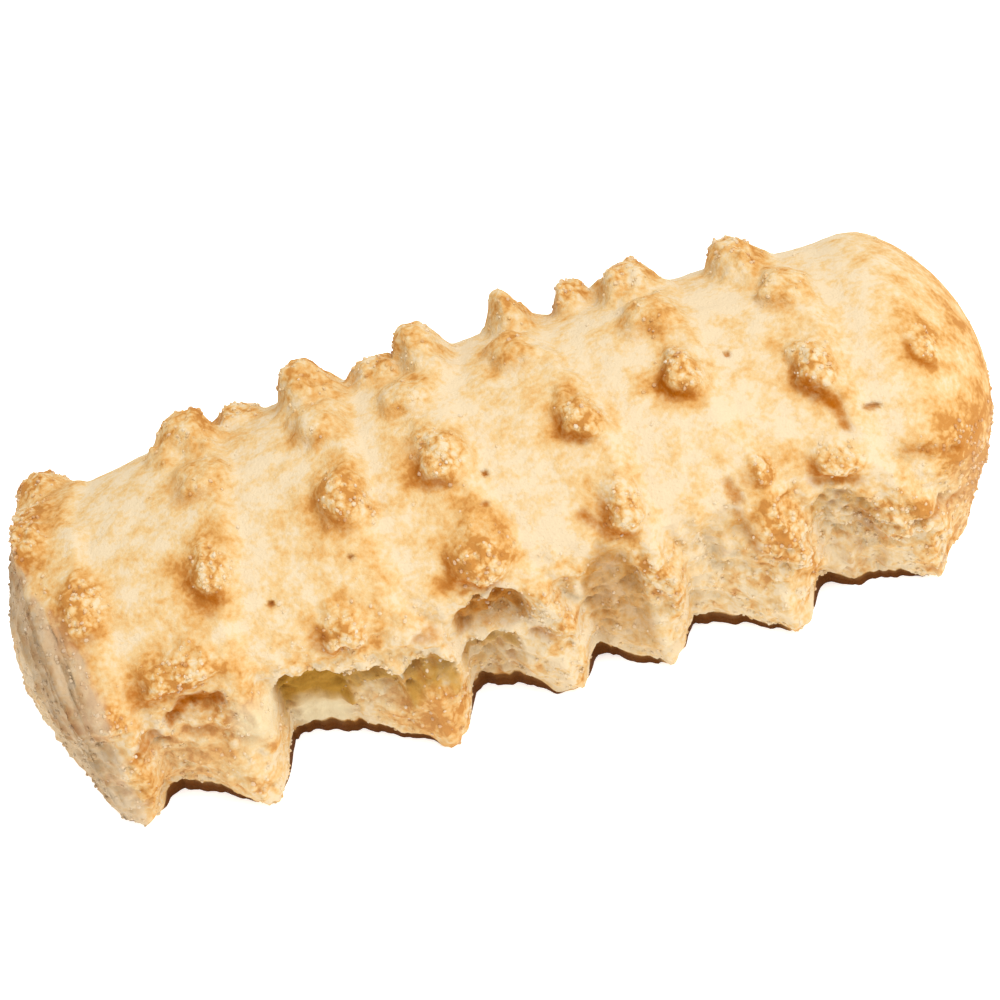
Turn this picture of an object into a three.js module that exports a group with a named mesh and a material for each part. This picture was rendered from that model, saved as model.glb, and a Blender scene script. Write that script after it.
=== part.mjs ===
// Apple biscuit: one baked log of shortcrust dough, round on top and flat underneath.
// Seven rings run round the log. Each climbs slowly to a crest on its right, carries a pinched knob in
// every row, and comes down to the base as a lobe. Right of each lobe the foot is drawn in and stands a
// little clear of the surface under it, and the front above these gaps is torn and scooped.
// The frame is +X along the log, +Y to its back and +Z up, with the origin at the middle of the base.
import * as THREE from "three";

// Driving dimensions, in millimetres and degrees. Angles run round the log: 0 at the back, 90 on top and
// 180 at the front. A drop is how far an angle lies below the centre line on its own side.
const LENGTH = 95; // end to end, over both bulged ends
const RADIUS = 16.5; // of the log between its knobs
const AXIS_HEIGHT = 10.1; // of the log's centre line above its base
const END_ROUND = 13; // radius that an end's outline evens out to as it closes

// Each end: how far it swells past its rim, the power of its curve towards the middle, the power that
// rounds its rim, and the height of its middle. Towards it the log loses a share of its height, all of it
// at a distance from the middle of the log.
const LEFT_END = { bulge: 4.7, fullness: 2, rim: 1, centre: 11, slump: 0.165, slumped: 42.8 };
const RIGHT_END = { bulge: 10.5, fullness: 2.2, rim: 0.6, centre: 13.3, slump: 0.112, slumped: 39.75 };
const LEFT_LEAN = 0.06; // how far the left end leans outwards per millimetre of height
const RIGHT_LEAN = 0.05; // and the right end inwards
// What is worn off the left rim low in front: how deep, from and to where past the rim, at which angles.
const LEFT_BEVEL = { depth: 1.8, from: 4, to: -0.4, angle: 172, half: 38 };
const RIGHT_SWELL = { height: 1.5, from: 35.5, to: 42 }; // how the log swells again next to the right end

// The rings: height of a crest, length of its steep right side, power of its slow left climb, and how deep
// the valley between two crests is low on the sides, with the drops between which it deepens.
const RIDGE = { height: 1, steep: 1.9, climb: 1.4 };
const VALLEY = { depth: 1.9, from: -32, to: 4 };
// Where the crests of the seven rings lie along the log, at angles from the back foot to the front foot.
const CRESTS = [
  { angle: -28, along: [-38.5, -28, -11, -3.5, 10.5, 24, 32] },
  { angle: 3, along: [-39.5, -25, -14, -0.5, 7.5, 23, 34] },
  { angle: 33, along: [-37.5, -24, -12, -1, 8.5, 20, 30] },
  { angle: 62, along: [-37.5, -24.5, -12, -1, 7.5, 20.5, 31] },
  { angle: 85, along: [-38, -23.5, -12, -2.5, 7.8, 20.8, 32.8] },
  { angle: 118, along: [-38.5, -25, -12.2, -2, 10.8, 21, 33.2] },
  { angle: 150, along: [-38.5, -28, -12.5, -1, 12.2, 23, 33.8] },
  { angle: 178, along: [-38.2, -26.6, -8.6, 2.6, 13, 25.2, 37.2] },
  { angle: 208, along: [-38.2, -26, -8, 3.8, 13.2, 25.8, 38.7] },
];
const LEFT_OF_RINGS = -54; // where the first ring would start and the last one end, past the log's ends
const RIGHT_OF_RINGS = 52;

// The knobs, row by row: the row's angle, half a knob's height on the skin, then for each knob its place
// along the log, the degrees that it lies off its row, half its length, and how far it stands out.
const KNOB_ROWS = [
  {
    angle: 3,
    tall: 2.2,
    knobs: [
      [-41.5, 0, 2.4, 2.4], [-27, 0, 2.2, 2.6], [-15.8, 0, 2.1, 2.4], [-2.4, 0, 2.2, 2.5],
      [5.6, 0, 2, 2.3], [21.2, 0, 2.3, 2.6], [32.3, 0, 2.2, 2.3],
    ],
  },
  {
    angle: 33,
    tall: 2.2,
    knobs: [
      [-41, 0, 2.3, 2], [-21.2, 15, 1.8, 1.6], [-13.6, 0, 2, 2.4], [-2.6, 0, 2.1, 2.5],
      [12.7, 17, 1.7, 2.5], [18.4, 0, 2.1, 2.4], [28.4, 0, 2.2, 2.6],
    ],
  },
  {
    angle: 62,
    tall: 2.2,
    knobs: [
      [-41.4, 0, 2.2, 0.6], [-26, -1, 2.9, 2.8], [-14.1, -1, 2.3, 3.5], [-7.2, -2, 2.6, 1.6],
      [-3.1, -1, 1.9, 3.2], [5.8, -5, 1.8, 3.4], [17.3, -3, 2.5, 3], [28, 0, 2.2, 2.6],
    ],
  },
  {
    angle: 88,
    tall: 2.1,
    knobs: [
      [-42.4, -2, 2.2, 1.9], [-25.6, 3, 2.5, 1.1], [-14, -1, 2, 1.4], [-4.9, 1, 2, 1.1],
      [5.5, -4, 2, 1.4], [18.6, -1.5, 2.2, 1.5], [31.2, 0, 2.1, 1.4],
    ],
  },
  {
    angle: 116,
    tall: 1.9,
    knobs: [
      [-38.4, 3, 1.8, 1.2], [-27.2, 10, 1.8, 1.6], [-13.6, 4.5, 1.9, 1.8], [-4.2, -0.5, 1.9, 1.5],
      [9, 2, 1.7, 1.9], [19.4, -3.5, 1.7, 1.9], [31.2, 4.5, 1.9, 1.9], [42.4, 5, 1.7, 0.7],
    ],
  },
  {
    angle: 150,
    tall: 1.8,
    knobs: [
      [-40.2, 6, 1.7, 1.2], [-32.6, 0, 3.4, 1.7], [-17.6, 7.5, 1.9, 1.2], [-3.2, 0, 2.5, 1.8],
      [10.5, -3, 1.8, 1.7], [23.4, -2, 1.1, 0.5], [30.7, 0.5, 2.2, 1.6], [40.5, 4, 2.4, 0.4],
    ],
  },
  {
    angle: 174,
    tall: 2.3,
    knobs: [
      [-28.9, 4, 1.9, 0.6], [1, 3, 1.6, 0.9], [11.6, -1, 1.6, 0.8], [23.6, -2, 2, 0.9],
      [33.8, 6, 1.9, 1.1], [44, -12, 2.6, 0.8],
    ],
  },
];
const KNOB_PARTING = 75; // angle past which knobs hang to the front, the others to the back
// How a knob's slopes compare with its half length and height, to the left, right, upwards and downwards,
// and the shares of them at which its flat top ends and its foot lies.
const KNOB_SLOPES = { left: 1.05, right: 1.1, up: 1.7, down: 0.8, top: 0.3, foot: 1.5 };

// The lobes of the foot: the tip's place along the log and its distance from the centre line, the end of
// the right flank, the distance that the foot is drawn in to there, and the power of the flank.
const FRONT_LOBES = [
  { tip: -40.6, reach: 14.4, edge: -37.8, gap: 12, flank: 2 },
  { tip: -29.9, reach: 17.5, edge: -25.1, gap: 9.8, flank: 4.5 },
  { tip: -11.2, reach: 17.1, edge: -7.2, gap: 11.2, flank: 2 },
  { tip: 0.8, reach: 16.2, edge: 4.5, gap: 12.3, flank: 2 },
  { tip: 10.2, reach: 16.8, edge: 14, gap: 11.7, flank: 1.7 },
  { tip: 22.2, reach: 17.2, edge: 25.9, gap: 12.4, flank: 2.3 },
  { tip: 35.6, reach: 15.3, edge: 44.5, gap: 9, flank: 1.2 },
];
const BACK_LOBES = [
  { tip: -40, reach: 15.6, edge: -37, gap: 12.5, flank: 2 },
  { tip: -28.6, reach: 17.4, edge: -26, gap: 12, flank: 2 },
  { tip: -12, reach: 17.6, edge: -9, gap: 12.4, flank: 2 },
  { tip: -3.8, reach: 16.4, edge: -1.5, gap: 12.6, flank: 2 },
  { tip: 9.6, reach: 17.2, edge: 12.4, gap: 12.4, flank: 2 },
  { tip: 23, reach: 17.4, edge: 26, gap: 12.6, flank: 2 },
  { tip: 33.5, reach: 16.2, edge: 52, gap: 13, flank: 2 },
];
const LOBE_CLIMB = 1.45; // power of a lobe's slow left side
// The foot's edge stands clear of the base in the gaps: its height where it is freest, the powers by which
// it frees itself left and right of a lobe's tip, and the power of its rise.
const LIP = { height: 2.4, left: 0.8, right: 6, rise: 0.6 };
const FOOT_ROUND = 0.6; // how far along the log the corners of the foot are rounded, each way
const FOOT_FROM = -10; // drop from which the sides run out or in to the foot
const FOOT_TAPER = { left: 14, right: 8 }; // length in which the lip comes down to the base at each end

// The scoops of the front: the tear first, then the caves under the knobs and the hollows above the gaps.
// Each has its middle and half length, the angle of its brow there and at its ends, the angle at which it
// has run out, its depth under the brow, and the degrees in which it reaches that depth.
const HOLLOWS = [
  { middle: -21.5, half: 3.5, top: 165.5, side: 171, foot: 240, depth: 3, soft: 2.6 },
  { middle: -16.2, half: 2.8, top: 172.5, side: 177, foot: 200, depth: 2.2, soft: 2.6 },
  { middle: -10.8, half: 2.6, top: 172, side: 178, foot: 190, depth: 1.5, soft: 2.6 },
  { middle: -3.9, half: 3.4, top: 157.5, side: 162, foot: 178, depth: 1.8, soft: 2.6 },
  { middle: -4.7, half: 2.8, top: 176, side: 181, foot: 240, depth: 1.6, soft: 2.6 },
  { middle: 7.6, half: 2.8, top: 152, side: 161, foot: 215, depth: 0.9, soft: 8 },
  { middle: 18.8, half: 2.2, top: 151, side: 158, foot: 190, depth: 0.5, soft: 8 },
  { middle: 29.6, half: 2.8, top: 157.5, side: 165, foot: 240, depth: 1.1, soft: 5 },
  { middle: -32, half: 3, top: 156.5, side: 160, foot: 171, depth: 0.9, soft: 5 },
  { middle: -37, half: 1.8, top: 166, side: 171, foot: 182, depth: 0.7, soft: 5 },
];
const BROW_RAGGED = { turn: 2.5, size: 2.1 }; // degrees by which the brows wander, and length of a wave
const HOLLOW_SIDE = { outer: 1.1, inner: 0.8 }; // shares of its half length between which a side rises

// The unevenness of the dough: its height high on the log and low on its sides, the share of it that the
// foot loses, the size of its lumps, and how far it shifts the rings and knobs along and round the log.
const CRAGS = { high: 0.12, low: 0.6, foot: 0.5, size: 3, from: -38, to: -2 };
const WANDER = { shift: 0.6, size: 3.4, along: 91, round: 41 };
const SCATTER = { steps: [12.9898, 78.233, 37.719], stretch: 43758.5453, seed: 23 }; // fixes each draw

// From each lip inwards: the shares of the lip's distance and height that the underside keeps.
const UNDERSIDE = [[0.985, 0.75], [0.981, 0.35], [0.977, 0], [0.5, 0]];

// How finely the surface is cut into faces. The front, which has more detail, is cut more finely.
const LENGTH_STEPS = 70; // between the two rims
const END_STEPS = 7; // from a rim to the middle of its end
const BACK_STEPS = 16; // round the log from the back lip to where the front starts
const FRONT_STEPS = 44; // and from there to the front lip
const FRONT_START = 58; // angle at which the front starts

const CRUST_COLOUR = 0xf0d09a;
const CRUST_ROUGHNESS = 0.9;

const DEGREE = Math.PI / 180;
const LEFT_RIM = -LENGTH / 2 + LEFT_END.bulge;
const RIGHT_RIM = LENGTH / 2 - RIGHT_END.bulge;
const { clamp, lerp } = THREE.MathUtils;

const KNOBS = KNOB_ROWS.flatMap(({ angle, tall, knobs }) =>
  knobs.map(([along, turn, long, out]) => ({ along, angle: angle + turn, long, tall, out })),
);

// 0 at the first edge and 1 at the second, smooth between them, whichever of the two is larger.
function ramp(first, second, value) {
  const share = clamp((value - first) / (second - first), 0, 1);
  return share * share * (3 - 2 * share);
}

// A repeatable draw from -1 to 1 for one corner of a lattice.
function draw(corner) {
  const { steps, stretch, seed } = SCATTER;
  const mixed = Math.sin(corner.reduce((sum, value, axis) => sum + value * steps[axis], seed)) * stretch;
  return 2 * (mixed - Math.floor(mixed)) - 1;
}

// Smooth random unevenness from -1 to 1 at a place along and round the plain log.
function unevenness(along, angle, size) {
  const place = [along, RADIUS * Math.cos(angle * DEGREE), RADIUS * Math.sin(angle * DEGREE)];
  const low = place.map((value) => Math.floor(value / size));
  const share = place.map((value, axis) => ramp(0, 1, value / size - low[axis]));
  let total = 0;
  for (let corner = 0; corner < 8; corner++) {
    const step = [corner & 1, (corner >> 1) & 1, corner >> 2];
    const weight = step.reduce((product, up, axis) => product * (up ? share[axis] : 1 - share[axis]), 1);
    total += weight * draw(low.map((value, axis) => value + step[axis]));
  }
  return total;
}

// Where the crest of one ring crosses the given angle: it runs straight from row to row.
function crestAlong(ring, angle) {
  const held = clamp(angle, CRESTS[0].angle, CRESTS[CRESTS.length - 1].angle);
  const upper = Math.max(1, CRESTS.findIndex((row) => row.angle >= held));
  const [before, after] = [CRESTS[upper - 1], CRESTS[upper]];
  return lerp(before.along[ring], after.along[ring], (held - before.angle) / (after.angle - before.angle));
}

// How high a place lies on its ring: 1 on the crest, 0 at the foot of the steep side of the one before.
function ringShare(along, angle) {
  let before = LEFT_OF_RINGS;
  for (let ring = 0; ring <= CRESTS[0].along.length; ring++) {
    const after = ring < CRESTS[0].along.length ? crestAlong(ring, angle) : RIGHT_OF_RINGS;
    if (along < after) {
      const past = along - before;
      const climb = clamp((past - RIDGE.steep) / Math.max(after - before - RIDGE.steep, 0.1), 0, 1);
      return Math.max(ramp(RIDGE.steep, 0, past), climb ** RIDGE.climb);
    }
    before = after;
  }
  return 0;
}

// How far the knobs lift the skin.
function knobRise(along, angle) {
  let rise = 0;
  for (const knob of KNOBS) {
    const past = along - knob.along;
    const side = knob.angle > KNOB_PARTING ? 1 : -1;
    const down = (angle - knob.angle) * DEGREE * RADIUS * side;
    const across = past / (knob.long * (past > 0 ? KNOB_SLOPES.right : KNOB_SLOPES.left));
    const fall = down / (knob.tall * (down > 0 ? KNOB_SLOPES.down : KNOB_SLOPES.up));
    const far = Math.hypot(across, fall);
    rise = Math.max(rise, knob.out * ramp(KNOB_SLOPES.foot, KNOB_SLOPES.top, far));
  }
  return rise;
}

// How deep the scoops of the front are cut.
function hollowDepth(along, angle) {
  const ragged = BROW_RAGGED.turn * unevenness(along, 0, BROW_RAGGED.size);
  let depth = 0;
  for (const hollow of HOLLOWS) {
    const off = (along - hollow.middle) / hollow.half;
    const brow = hollow.top + (hollow.side - hollow.top) * off ** 2 + ragged;
    const beside = ramp(HOLLOW_SIDE.outer, HOLLOW_SIDE.inner, Math.abs(off));
    const inside = beside * ramp(brow, brow + hollow.soft, angle);
    depth = Math.max(depth, hollow.depth * inside * ramp(hollow.foot, (hollow.foot + brow) / 2, angle));
  }
  return depth;
}

// The foot with sharp corners: its distance from the centre line, and how free of the base it stands.
function sharpFoot(along, lobes) {
  const end = lobes[lobes.length - 1].edge;
  const leftEnd = ramp(LEFT_OF_RINGS, LEFT_OF_RINGS + FOOT_TAPER.left, along);
  const clear = leftEnd * ramp(end, end - FOOT_TAPER.right, along);
  let start = LEFT_OF_RINGS;
  let gap = lobes[0].gap;
  for (const lobe of lobes) {
    if (along < lobe.edge) {
      const climb = clamp((along - start) / (lobe.tip - start), 0, 1);
      const fall = clamp((along - lobe.tip) / (lobe.edge - lobe.tip), 0, 1);
      const climbed = gap + (lobe.reach - gap) * climb ** LOBE_CLIMB;
      const reach = climbed - (lobe.reach - lobe.gap) * fall ** lobe.flank;
      return { reach, free: clear * Math.max((1 - climb) ** LIP.left, fall ** LIP.right) };
    }
    start = lobe.edge;
    gap = lobe.gap;
  }
  return { reach: gap, free: 0 };
}

// The lip of the foot on one side: its distance from the centre line of the log, and its drop.
function lip(along, front) {
  const lobes = front ? FRONT_LOBES : BACK_LOBES;
  const near = [-FOOT_ROUND, 0, FOOT_ROUND].map((step) => sharpFoot(along + step, lobes));
  const mean = (key) => near.reduce((sum, foot) => sum + foot[key], 0) / near.length;
  const reach = mean("reach");
  const fall = AXIS_HEIGHT - LIP.height * mean("free") ** LIP.rise;
  return { radius: Math.hypot(reach, fall), drop: Math.atan2(fall, reach) / DEGREE };
}

// How far the left rim is worn off.
function leftBevel(along, angle) {
  const { depth, from, to, half } = LEFT_BEVEL;
  const off = Math.min(1, Math.abs(angle - LEFT_BEVEL.angle) / half);
  return depth * ramp(LEFT_RIM + from, LEFT_RIM + to, along) * (1 - off ** 2) ** 2;
}

// The log's radius at one place along and round it.
function radiusAt(along, angle) {
  const front = angle > 90;
  const drop = front ? angle - 180 : -angle;
  const wide = along + WANDER.shift * unevenness(along + WANDER.along, angle, WANDER.size);
  const turned = WANDER.shift * unevenness(along + WANDER.round, angle, WANDER.size);
  const high = angle + turned / (RADIUS * DEGREE);
  const ring = ringShare(wide, high);
  const valley = VALLEY.depth * (1 - ring) * ramp(VALLEY.from, VALLEY.to, drop);
  const swell = RIGHT_SWELL.height * ramp(RIGHT_SWELL.from, RIGHT_SWELL.to, along);
  const raised = RADIUS + knobRise(wide, high) + RIDGE.height * ring + swell;
  const free = raised - valley - hollowDepth(along, angle) - leftBevel(along, angle);
  const foot = lip(along, front);
  const crag = lerp(CRAGS.high, CRAGS.low, ramp(CRAGS.from, CRAGS.to, drop));
  const toFoot = ramp(FOOT_FROM, foot.drop, drop);
  const uneven = crag * (1 - CRAGS.foot * toFoot) * unevenness(along, angle, CRAGS.size);
  return lerp(free, foot.radius, toFoot) + uneven;
}

// The angles of one section, from the back lip over the top to the front lip.
function sectionAngles(along) {
  const from = -lip(along, false).drop;
  const to = 180 + lip(along, true).drop;
  const angles = [];
  for (let step = 0; step < BACK_STEPS; step++) angles.push(lerp(from, FRONT_START, step / BACK_STEPS));
  for (let step = 0; step <= FRONT_STEPS; step++) angles.push(lerp(FRONT_START, to, step / FRONT_STEPS));
  return angles;
}

// One closed section of the log, [y, z] pairs from the back lip over the top and back along the base.
function section(along) {
  const points = sectionAngles(along).map((angle) => {
    const radius = radiusAt(along, angle);
    const height = AXIS_HEIGHT + radius * Math.sin(angle * DEGREE);
    return [radius * Math.cos(angle * DEGREE), Math.max(0, height)];
  });
  const [backLip, frontLip] = [points[0], points[points.length - 1]];
  const inwards = (edge) => UNDERSIDE.map(([across, up]) => [edge[0] * across, edge[1] * up]);
  return [...points, ...inwards(frontLip), ...inwards(backLip).reverse()];
}

// Share of its full height that the log keeps at one place along it.
function crown(along) {
  const { slump, slumped } = along < 0 ? LEFT_END : RIGHT_END;
  return 1 - slump * Math.min(1, (along / slumped) ** 2);
}

// The stations from the left end to the right: each has a place along the dough for its section, its x,
// and the share of the section's size that is left as an end closes.
function stations() {
  const list = [];
  const closing = (rim, side, end) => (step) => {
    const scale = Math.cos((step / END_STEPS) * (Math.PI / 2));
    const past = side * end.bulge * (1 - scale ** end.fullness) ** end.rim;
    const over = side * Math.hypot(past, RADIUS * (1 - scale));
    return { along: rim + over, x: rim + past, scale };
  };
  const left = closing(LEFT_RIM, -1, LEFT_END);
  const right = closing(RIGHT_RIM, 1, RIGHT_END);
  for (let step = END_STEPS - 1; step > 0; step--) list.push(left(step));
  for (let step = 0; step <= LENGTH_STEPS; step++) {
    const along = lerp(LEFT_RIM, RIGHT_RIM, step / LENGTH_STEPS);
    list.push({ along, x: along, scale: 1 });
  }
  for (let step = 1; step < END_STEPS; step++) list.push(right(step));
  return list;
}

// The whole log as one closed surface: a skin through the sections, and a fan on each end.
function logGeometry() {
  const positions = [];
  const triangles = [];
  const columns = stations();
  const around = BACK_STEPS + FRONT_STEPS + 1 + 2 * UNDERSIDE.length;
  for (const { along, x, scale } of columns) {
    const height = crown(along);
    const { centre } = x < 0 ? LEFT_END : RIGHT_END;
    const leftLean = LEFT_LEAN * ramp(LEFT_RIM / 2, LEFT_RIM, along);
    const lean = leftLean + RIGHT_LEAN * ramp(RIGHT_RIM / 2, RIGHT_RIM, along);
    for (const [y, z] of section(along)) {
      const out = Math.hypot(y, z - centre);
      const share = scale * lerp(END_ROUND / out, 1, scale);
      const rise = (z - centre) * share;
      positions.push(x - lean * rise, y * share, height * (centre + rise));
    }
  }
  const leftPole = columns.length * around;
  const rightPole = leftPole + 1;
  positions.push(-LENGTH / 2, 0, crown(-LENGTH / 2) * LEFT_END.centre);
  positions.push(LENGTH / 2, 0, crown(LENGTH / 2) * RIGHT_END.centre);
  for (let step = 0; step < around; step++) {
    const next = (step + 1) % around;
    for (let column = 0; column + 1 < columns.length; column++) {
      const here = column * around;
      const beyond = here + around;
      triangles.push(here + step, beyond + next, beyond + step);
      triangles.push(here + step, here + next, beyond + next);
    }
    const lastColumn = (columns.length - 1) * around;
    triangles.push(leftPole, next, step);
    triangles.push(rightPole, lastColumn + step, lastColumn + next);
  }
  const geometry = new THREE.BufferGeometry();
  geometry.setAttribute("position", new THREE.Float32BufferAttribute(positions, 3));
  geometry.setIndex(triangles);
  geometry.computeBoundingBox();
  const middle = geometry.boundingBox.getCenter(new THREE.Vector3());
  geometry.translate(-middle.x, -middle.y, 0);
  geometry.computeVertexNormals();
  return geometry;
}

const crust = new THREE.MeshStandardMaterial({
  color: CRUST_COLOUR,
  roughness: CRUST_ROUGHNESS,
  metalness: 0,
});

const biscuit = new THREE.Group();
const log = new THREE.Mesh(logGeometry(), crust);
log.name = "biscuit";
biscuit.add(log);

export default biscuit;
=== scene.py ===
"""An apple biscuit: a baked log of shortcrust dough with rings of browned, sugared knobs.

The skin is worked out from the log's sizes as one closed mesh, with a mark on every point for how brown,
scorched, raw or crumbly it is there, and for painted shade, which the scorching mark partly holds and which
other marks paint in the hollows and under the foot. Geometry Nodes roughen the skin and sow crumbs and
sugar on it.
Sizes are in millimetres and degrees until a mesh is made. Angles run round the log: 0 at the back,
90 on top, 180 at the front. A drop is the degrees that a place lies below the centre line on its side.
"""

import logging
import math
from dataclasses import dataclass, field, fields, replace
from enum import Enum
from typing import Self

import bpy
import numpy as np
from mathutils import Matrix, Vector


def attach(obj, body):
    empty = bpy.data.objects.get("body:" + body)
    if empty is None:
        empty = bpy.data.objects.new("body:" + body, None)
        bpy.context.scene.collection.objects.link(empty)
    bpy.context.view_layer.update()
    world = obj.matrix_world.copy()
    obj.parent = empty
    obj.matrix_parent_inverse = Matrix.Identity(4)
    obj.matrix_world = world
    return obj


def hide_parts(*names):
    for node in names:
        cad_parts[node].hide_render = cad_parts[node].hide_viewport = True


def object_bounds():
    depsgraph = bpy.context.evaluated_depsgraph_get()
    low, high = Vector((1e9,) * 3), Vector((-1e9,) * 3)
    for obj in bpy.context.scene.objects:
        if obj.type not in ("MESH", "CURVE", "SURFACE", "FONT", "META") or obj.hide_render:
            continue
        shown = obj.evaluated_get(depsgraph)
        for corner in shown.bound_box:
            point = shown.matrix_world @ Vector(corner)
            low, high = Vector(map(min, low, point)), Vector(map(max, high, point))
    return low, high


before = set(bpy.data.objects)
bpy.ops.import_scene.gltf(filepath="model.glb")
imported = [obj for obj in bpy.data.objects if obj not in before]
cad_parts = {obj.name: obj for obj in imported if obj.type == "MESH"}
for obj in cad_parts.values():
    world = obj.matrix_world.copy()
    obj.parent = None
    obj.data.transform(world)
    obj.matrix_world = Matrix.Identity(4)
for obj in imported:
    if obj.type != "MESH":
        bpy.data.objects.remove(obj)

LOG = logging.getLogger("apple_biscuit")
CAD_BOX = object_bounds()
MM = 0.001
DEGREE = math.pi / 180
TOP = 90.0
FRONT = 180.0
LIGHT_LEVEL = 1.45
WHITE = (1.0, 1.0, 1.0, 1.0)
SHARP_BROW = 2.6
FRONT_KNOBS_FROM = 75.0
Array = np.ndarray
Colour = tuple[float, ...]
Span = tuple[float, float]
Socket = bpy.types.NodeSocket
Inputs = dict[str | int, object]


class Mark(Enum):
    """What shows on the skin or on a grain, one attribute each."""

    TOAST = "toast"
    # Scorching, with painted shade on the knobs' lower left, under brows, and in creases and pores.
    SCORCH = "scorch"
    # Painted shade: olive-brown darkening in the hollows under the brows.
    SHADE = "shade"
    RAW = "raw"
    CRUMB = "crumb"
    CUT = "cut"
    # The underside's brown with painted shade under the lifted lips, and the brown streaks of the left
    # face.
    BASE = "base"
    TIP = "tip"
    TINT = "tint"


class Carrier(Enum):
    """What a mark is written on."""

    POINT = "POINT"
    GRAIN = "INSTANCE"


def smooth(share: Array) -> Array:
    """Eases shares from 0 to 1 in and out."""
    return share * share * (3.0 - 2.0 * share)


def ramp(low: float | Array, high: float | Array, value: Array) -> Array:
    """0 at the first edge and 1 at the second, which may lie on either side, and smooth between them."""
    return smooth(np.clip((value - low) / (high - low), 0.0, 1.0))


def hump(distance: Array) -> Array:
    """1 at distance 0, falling smoothly to 0 at distance 1."""
    return np.where(np.abs(distance) < 1.0, (1.0 - distance**2) ** 2, 0.0)


def shown(red: int, green: int, blue: int) -> Colour:
    """The surface colour that the studio's light makes look like a picture colour.

    Args:
        red: The picture's red, from 0 to 255.
        green: Its green.
        blue: Its blue.

    Returns:
        The surface colour, opaque.
    """
    shares = [value / 255.0 for value in (red, green, blue)]
    light = [s / 12.92 if s <= 0.04045 else ((s + 0.055) / 1.055) ** 2.4 for s in shares]
    return (*(value / LIGHT_LEVEL for value in light), 1.0)


@dataclass(frozen=True)
class Grit:
    """A layer of unevenness: its height, the size of its lumps, and where in the pattern it is read.

    A broken layer has finer lumps on the large ones, as broken dough has.
    """

    height: float
    size: float
    shift: float = 0.0
    broken: bool = True


class Unevenness:
    """Smooth random unevenness in space, the same on every run."""

    CELLS = 48
    FINER_SIZE = 0.47
    FINER_HEIGHT = 0.5
    FINER_SHIFT = 17.3
    BROKEN_HEIGHT = 1.2

    def __init__(self, seed: int) -> None:
        """Draws the heights of the lattice."""
        self.heights = np.random.default_rng(seed).uniform(-1.0, 1.0, (self.CELLS,) * 3)

    def at(self, points: Array, size: float) -> Array:
        """The unevenness at some points.

        Args:
            points: Places, with the three coordinates along the last axis.
            size: Distance from one lattice point to the next.

        Returns:
            Heights from -1 to 1.
        """
        cell = points / size
        low = np.floor(cell).astype(int)
        share = smooth(cell - low)
        total = np.zeros(points.shape[:-1])
        for corner in np.ndindex(2, 2, 2):
            weight = np.prod(np.where(corner, share, 1.0 - share), axis=-1)
            index = (low + np.array(corner)) % self.CELLS
            total += weight * self.heights[index[..., 0], index[..., 1], index[..., 2]]
        return total

    def layer(self, points: Array, grit: Grit) -> Array:
        """A layer of the unevenness at some points.

        Args:
            points: Places, with the three coordinates along the last axis.
            grit: The layer.

        Returns:
            Heights up and down, about as large as the layer's.
        """
        place = points + grit.shift
        level = self.at(place, grit.size)
        if grit.broken:
            finer = self.at(place + self.FINER_SHIFT, grit.size * self.FINER_SIZE)
            level = (level + self.FINER_HEIGHT * finer) / self.BROKEN_HEIGHT
        return grit.height * level


@dataclass(frozen=True)
class Row:
    """Where the crests of the rings cross one line along the log."""

    angle: float
    crests: tuple[float, ...]


@dataclass(frozen=True)
class Knob:
    """A pinched knob.

    It has its middle, half its length and half its height on the skin, and how far it stands out. Then come
    how dark its lower left side is, scorched and with painted shade on the side away from the lamp, how
    grainy its crown is, and how brown the skin round it is.
    """

    along: float
    angle: float
    long: float
    tall: float
    out: float
    scorch: float = 0.0
    grain: float = 1.0
    brown: float = 1.0

    @property
    def down(self) -> float:
        """1 on the front, where angles grow towards the base, and -1 on the back."""
        return 1.0 if self.angle > FRONT_KNOBS_FROM else -1.0


@dataclass(frozen=True)
class Lobe:
    """A lobe of the foot: its tip and the end of its right flank, each with how far the foot reaches there.

    The flank's power says how late it falls.
    """

    tip: float
    reach: float
    edge: float
    gap: float
    flank: float = 2.0


@dataclass(frozen=True)
class Hollow:
    """A scoop under a ragged brow, deepest just below the brow.

    The brow's angle is given at the middle and at the sides, and the foot is where the scoop runs out. Its
    dark marks are painted shade, strongest in a band under the brow, and a part of them stays on the floor
    of the scoop.
    """

    middle: float
    half: float
    top: float
    side: float
    foot: float
    depth: float
    raw: float = 0.0
    scorch: float = 0.0
    shade: float = 0.0
    floor: float = 0.1
    band: float = 8.0
    soft: float = SHARP_BROW


@dataclass(frozen=True)
class Pore:
    """A small hole where a bubble broke through the crust."""

    along: float
    angle: float
    long: float
    tall: float
    depth: float


@dataclass(frozen=True)
class Crease:
    """A dark crease from one place on the skin to another, each along and round the log."""

    start: tuple[float, float]
    stop: tuple[float, float]
    half: float
    scorch: float
    depth: float = 0.2


@dataclass(frozen=True)
class Fade:
    """Browning that grows along the log from one place to another."""

    start: float
    stop: float
    toast: float


@dataclass(frozen=True)
class Patch:
    """A browner or paler patch low on the log: its middle, half its length, and where it grows."""

    middle: float
    half: float
    drops: Span
    toast: float


@dataclass(frozen=True)
class Roughness:
    """A layer of roughness: its height on plain dough, and what low dough, crowns and scoops add."""

    grit: Grit
    plain: float
    low: float
    crown: float
    scoop: float


@dataclass(frozen=True)
class UnderLine:
    """A line along the underside: the shares of the lip's reach and height it keeps, and its darkness,
    painted shade.
    """

    reach: float
    height: float
    dark: float


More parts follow.
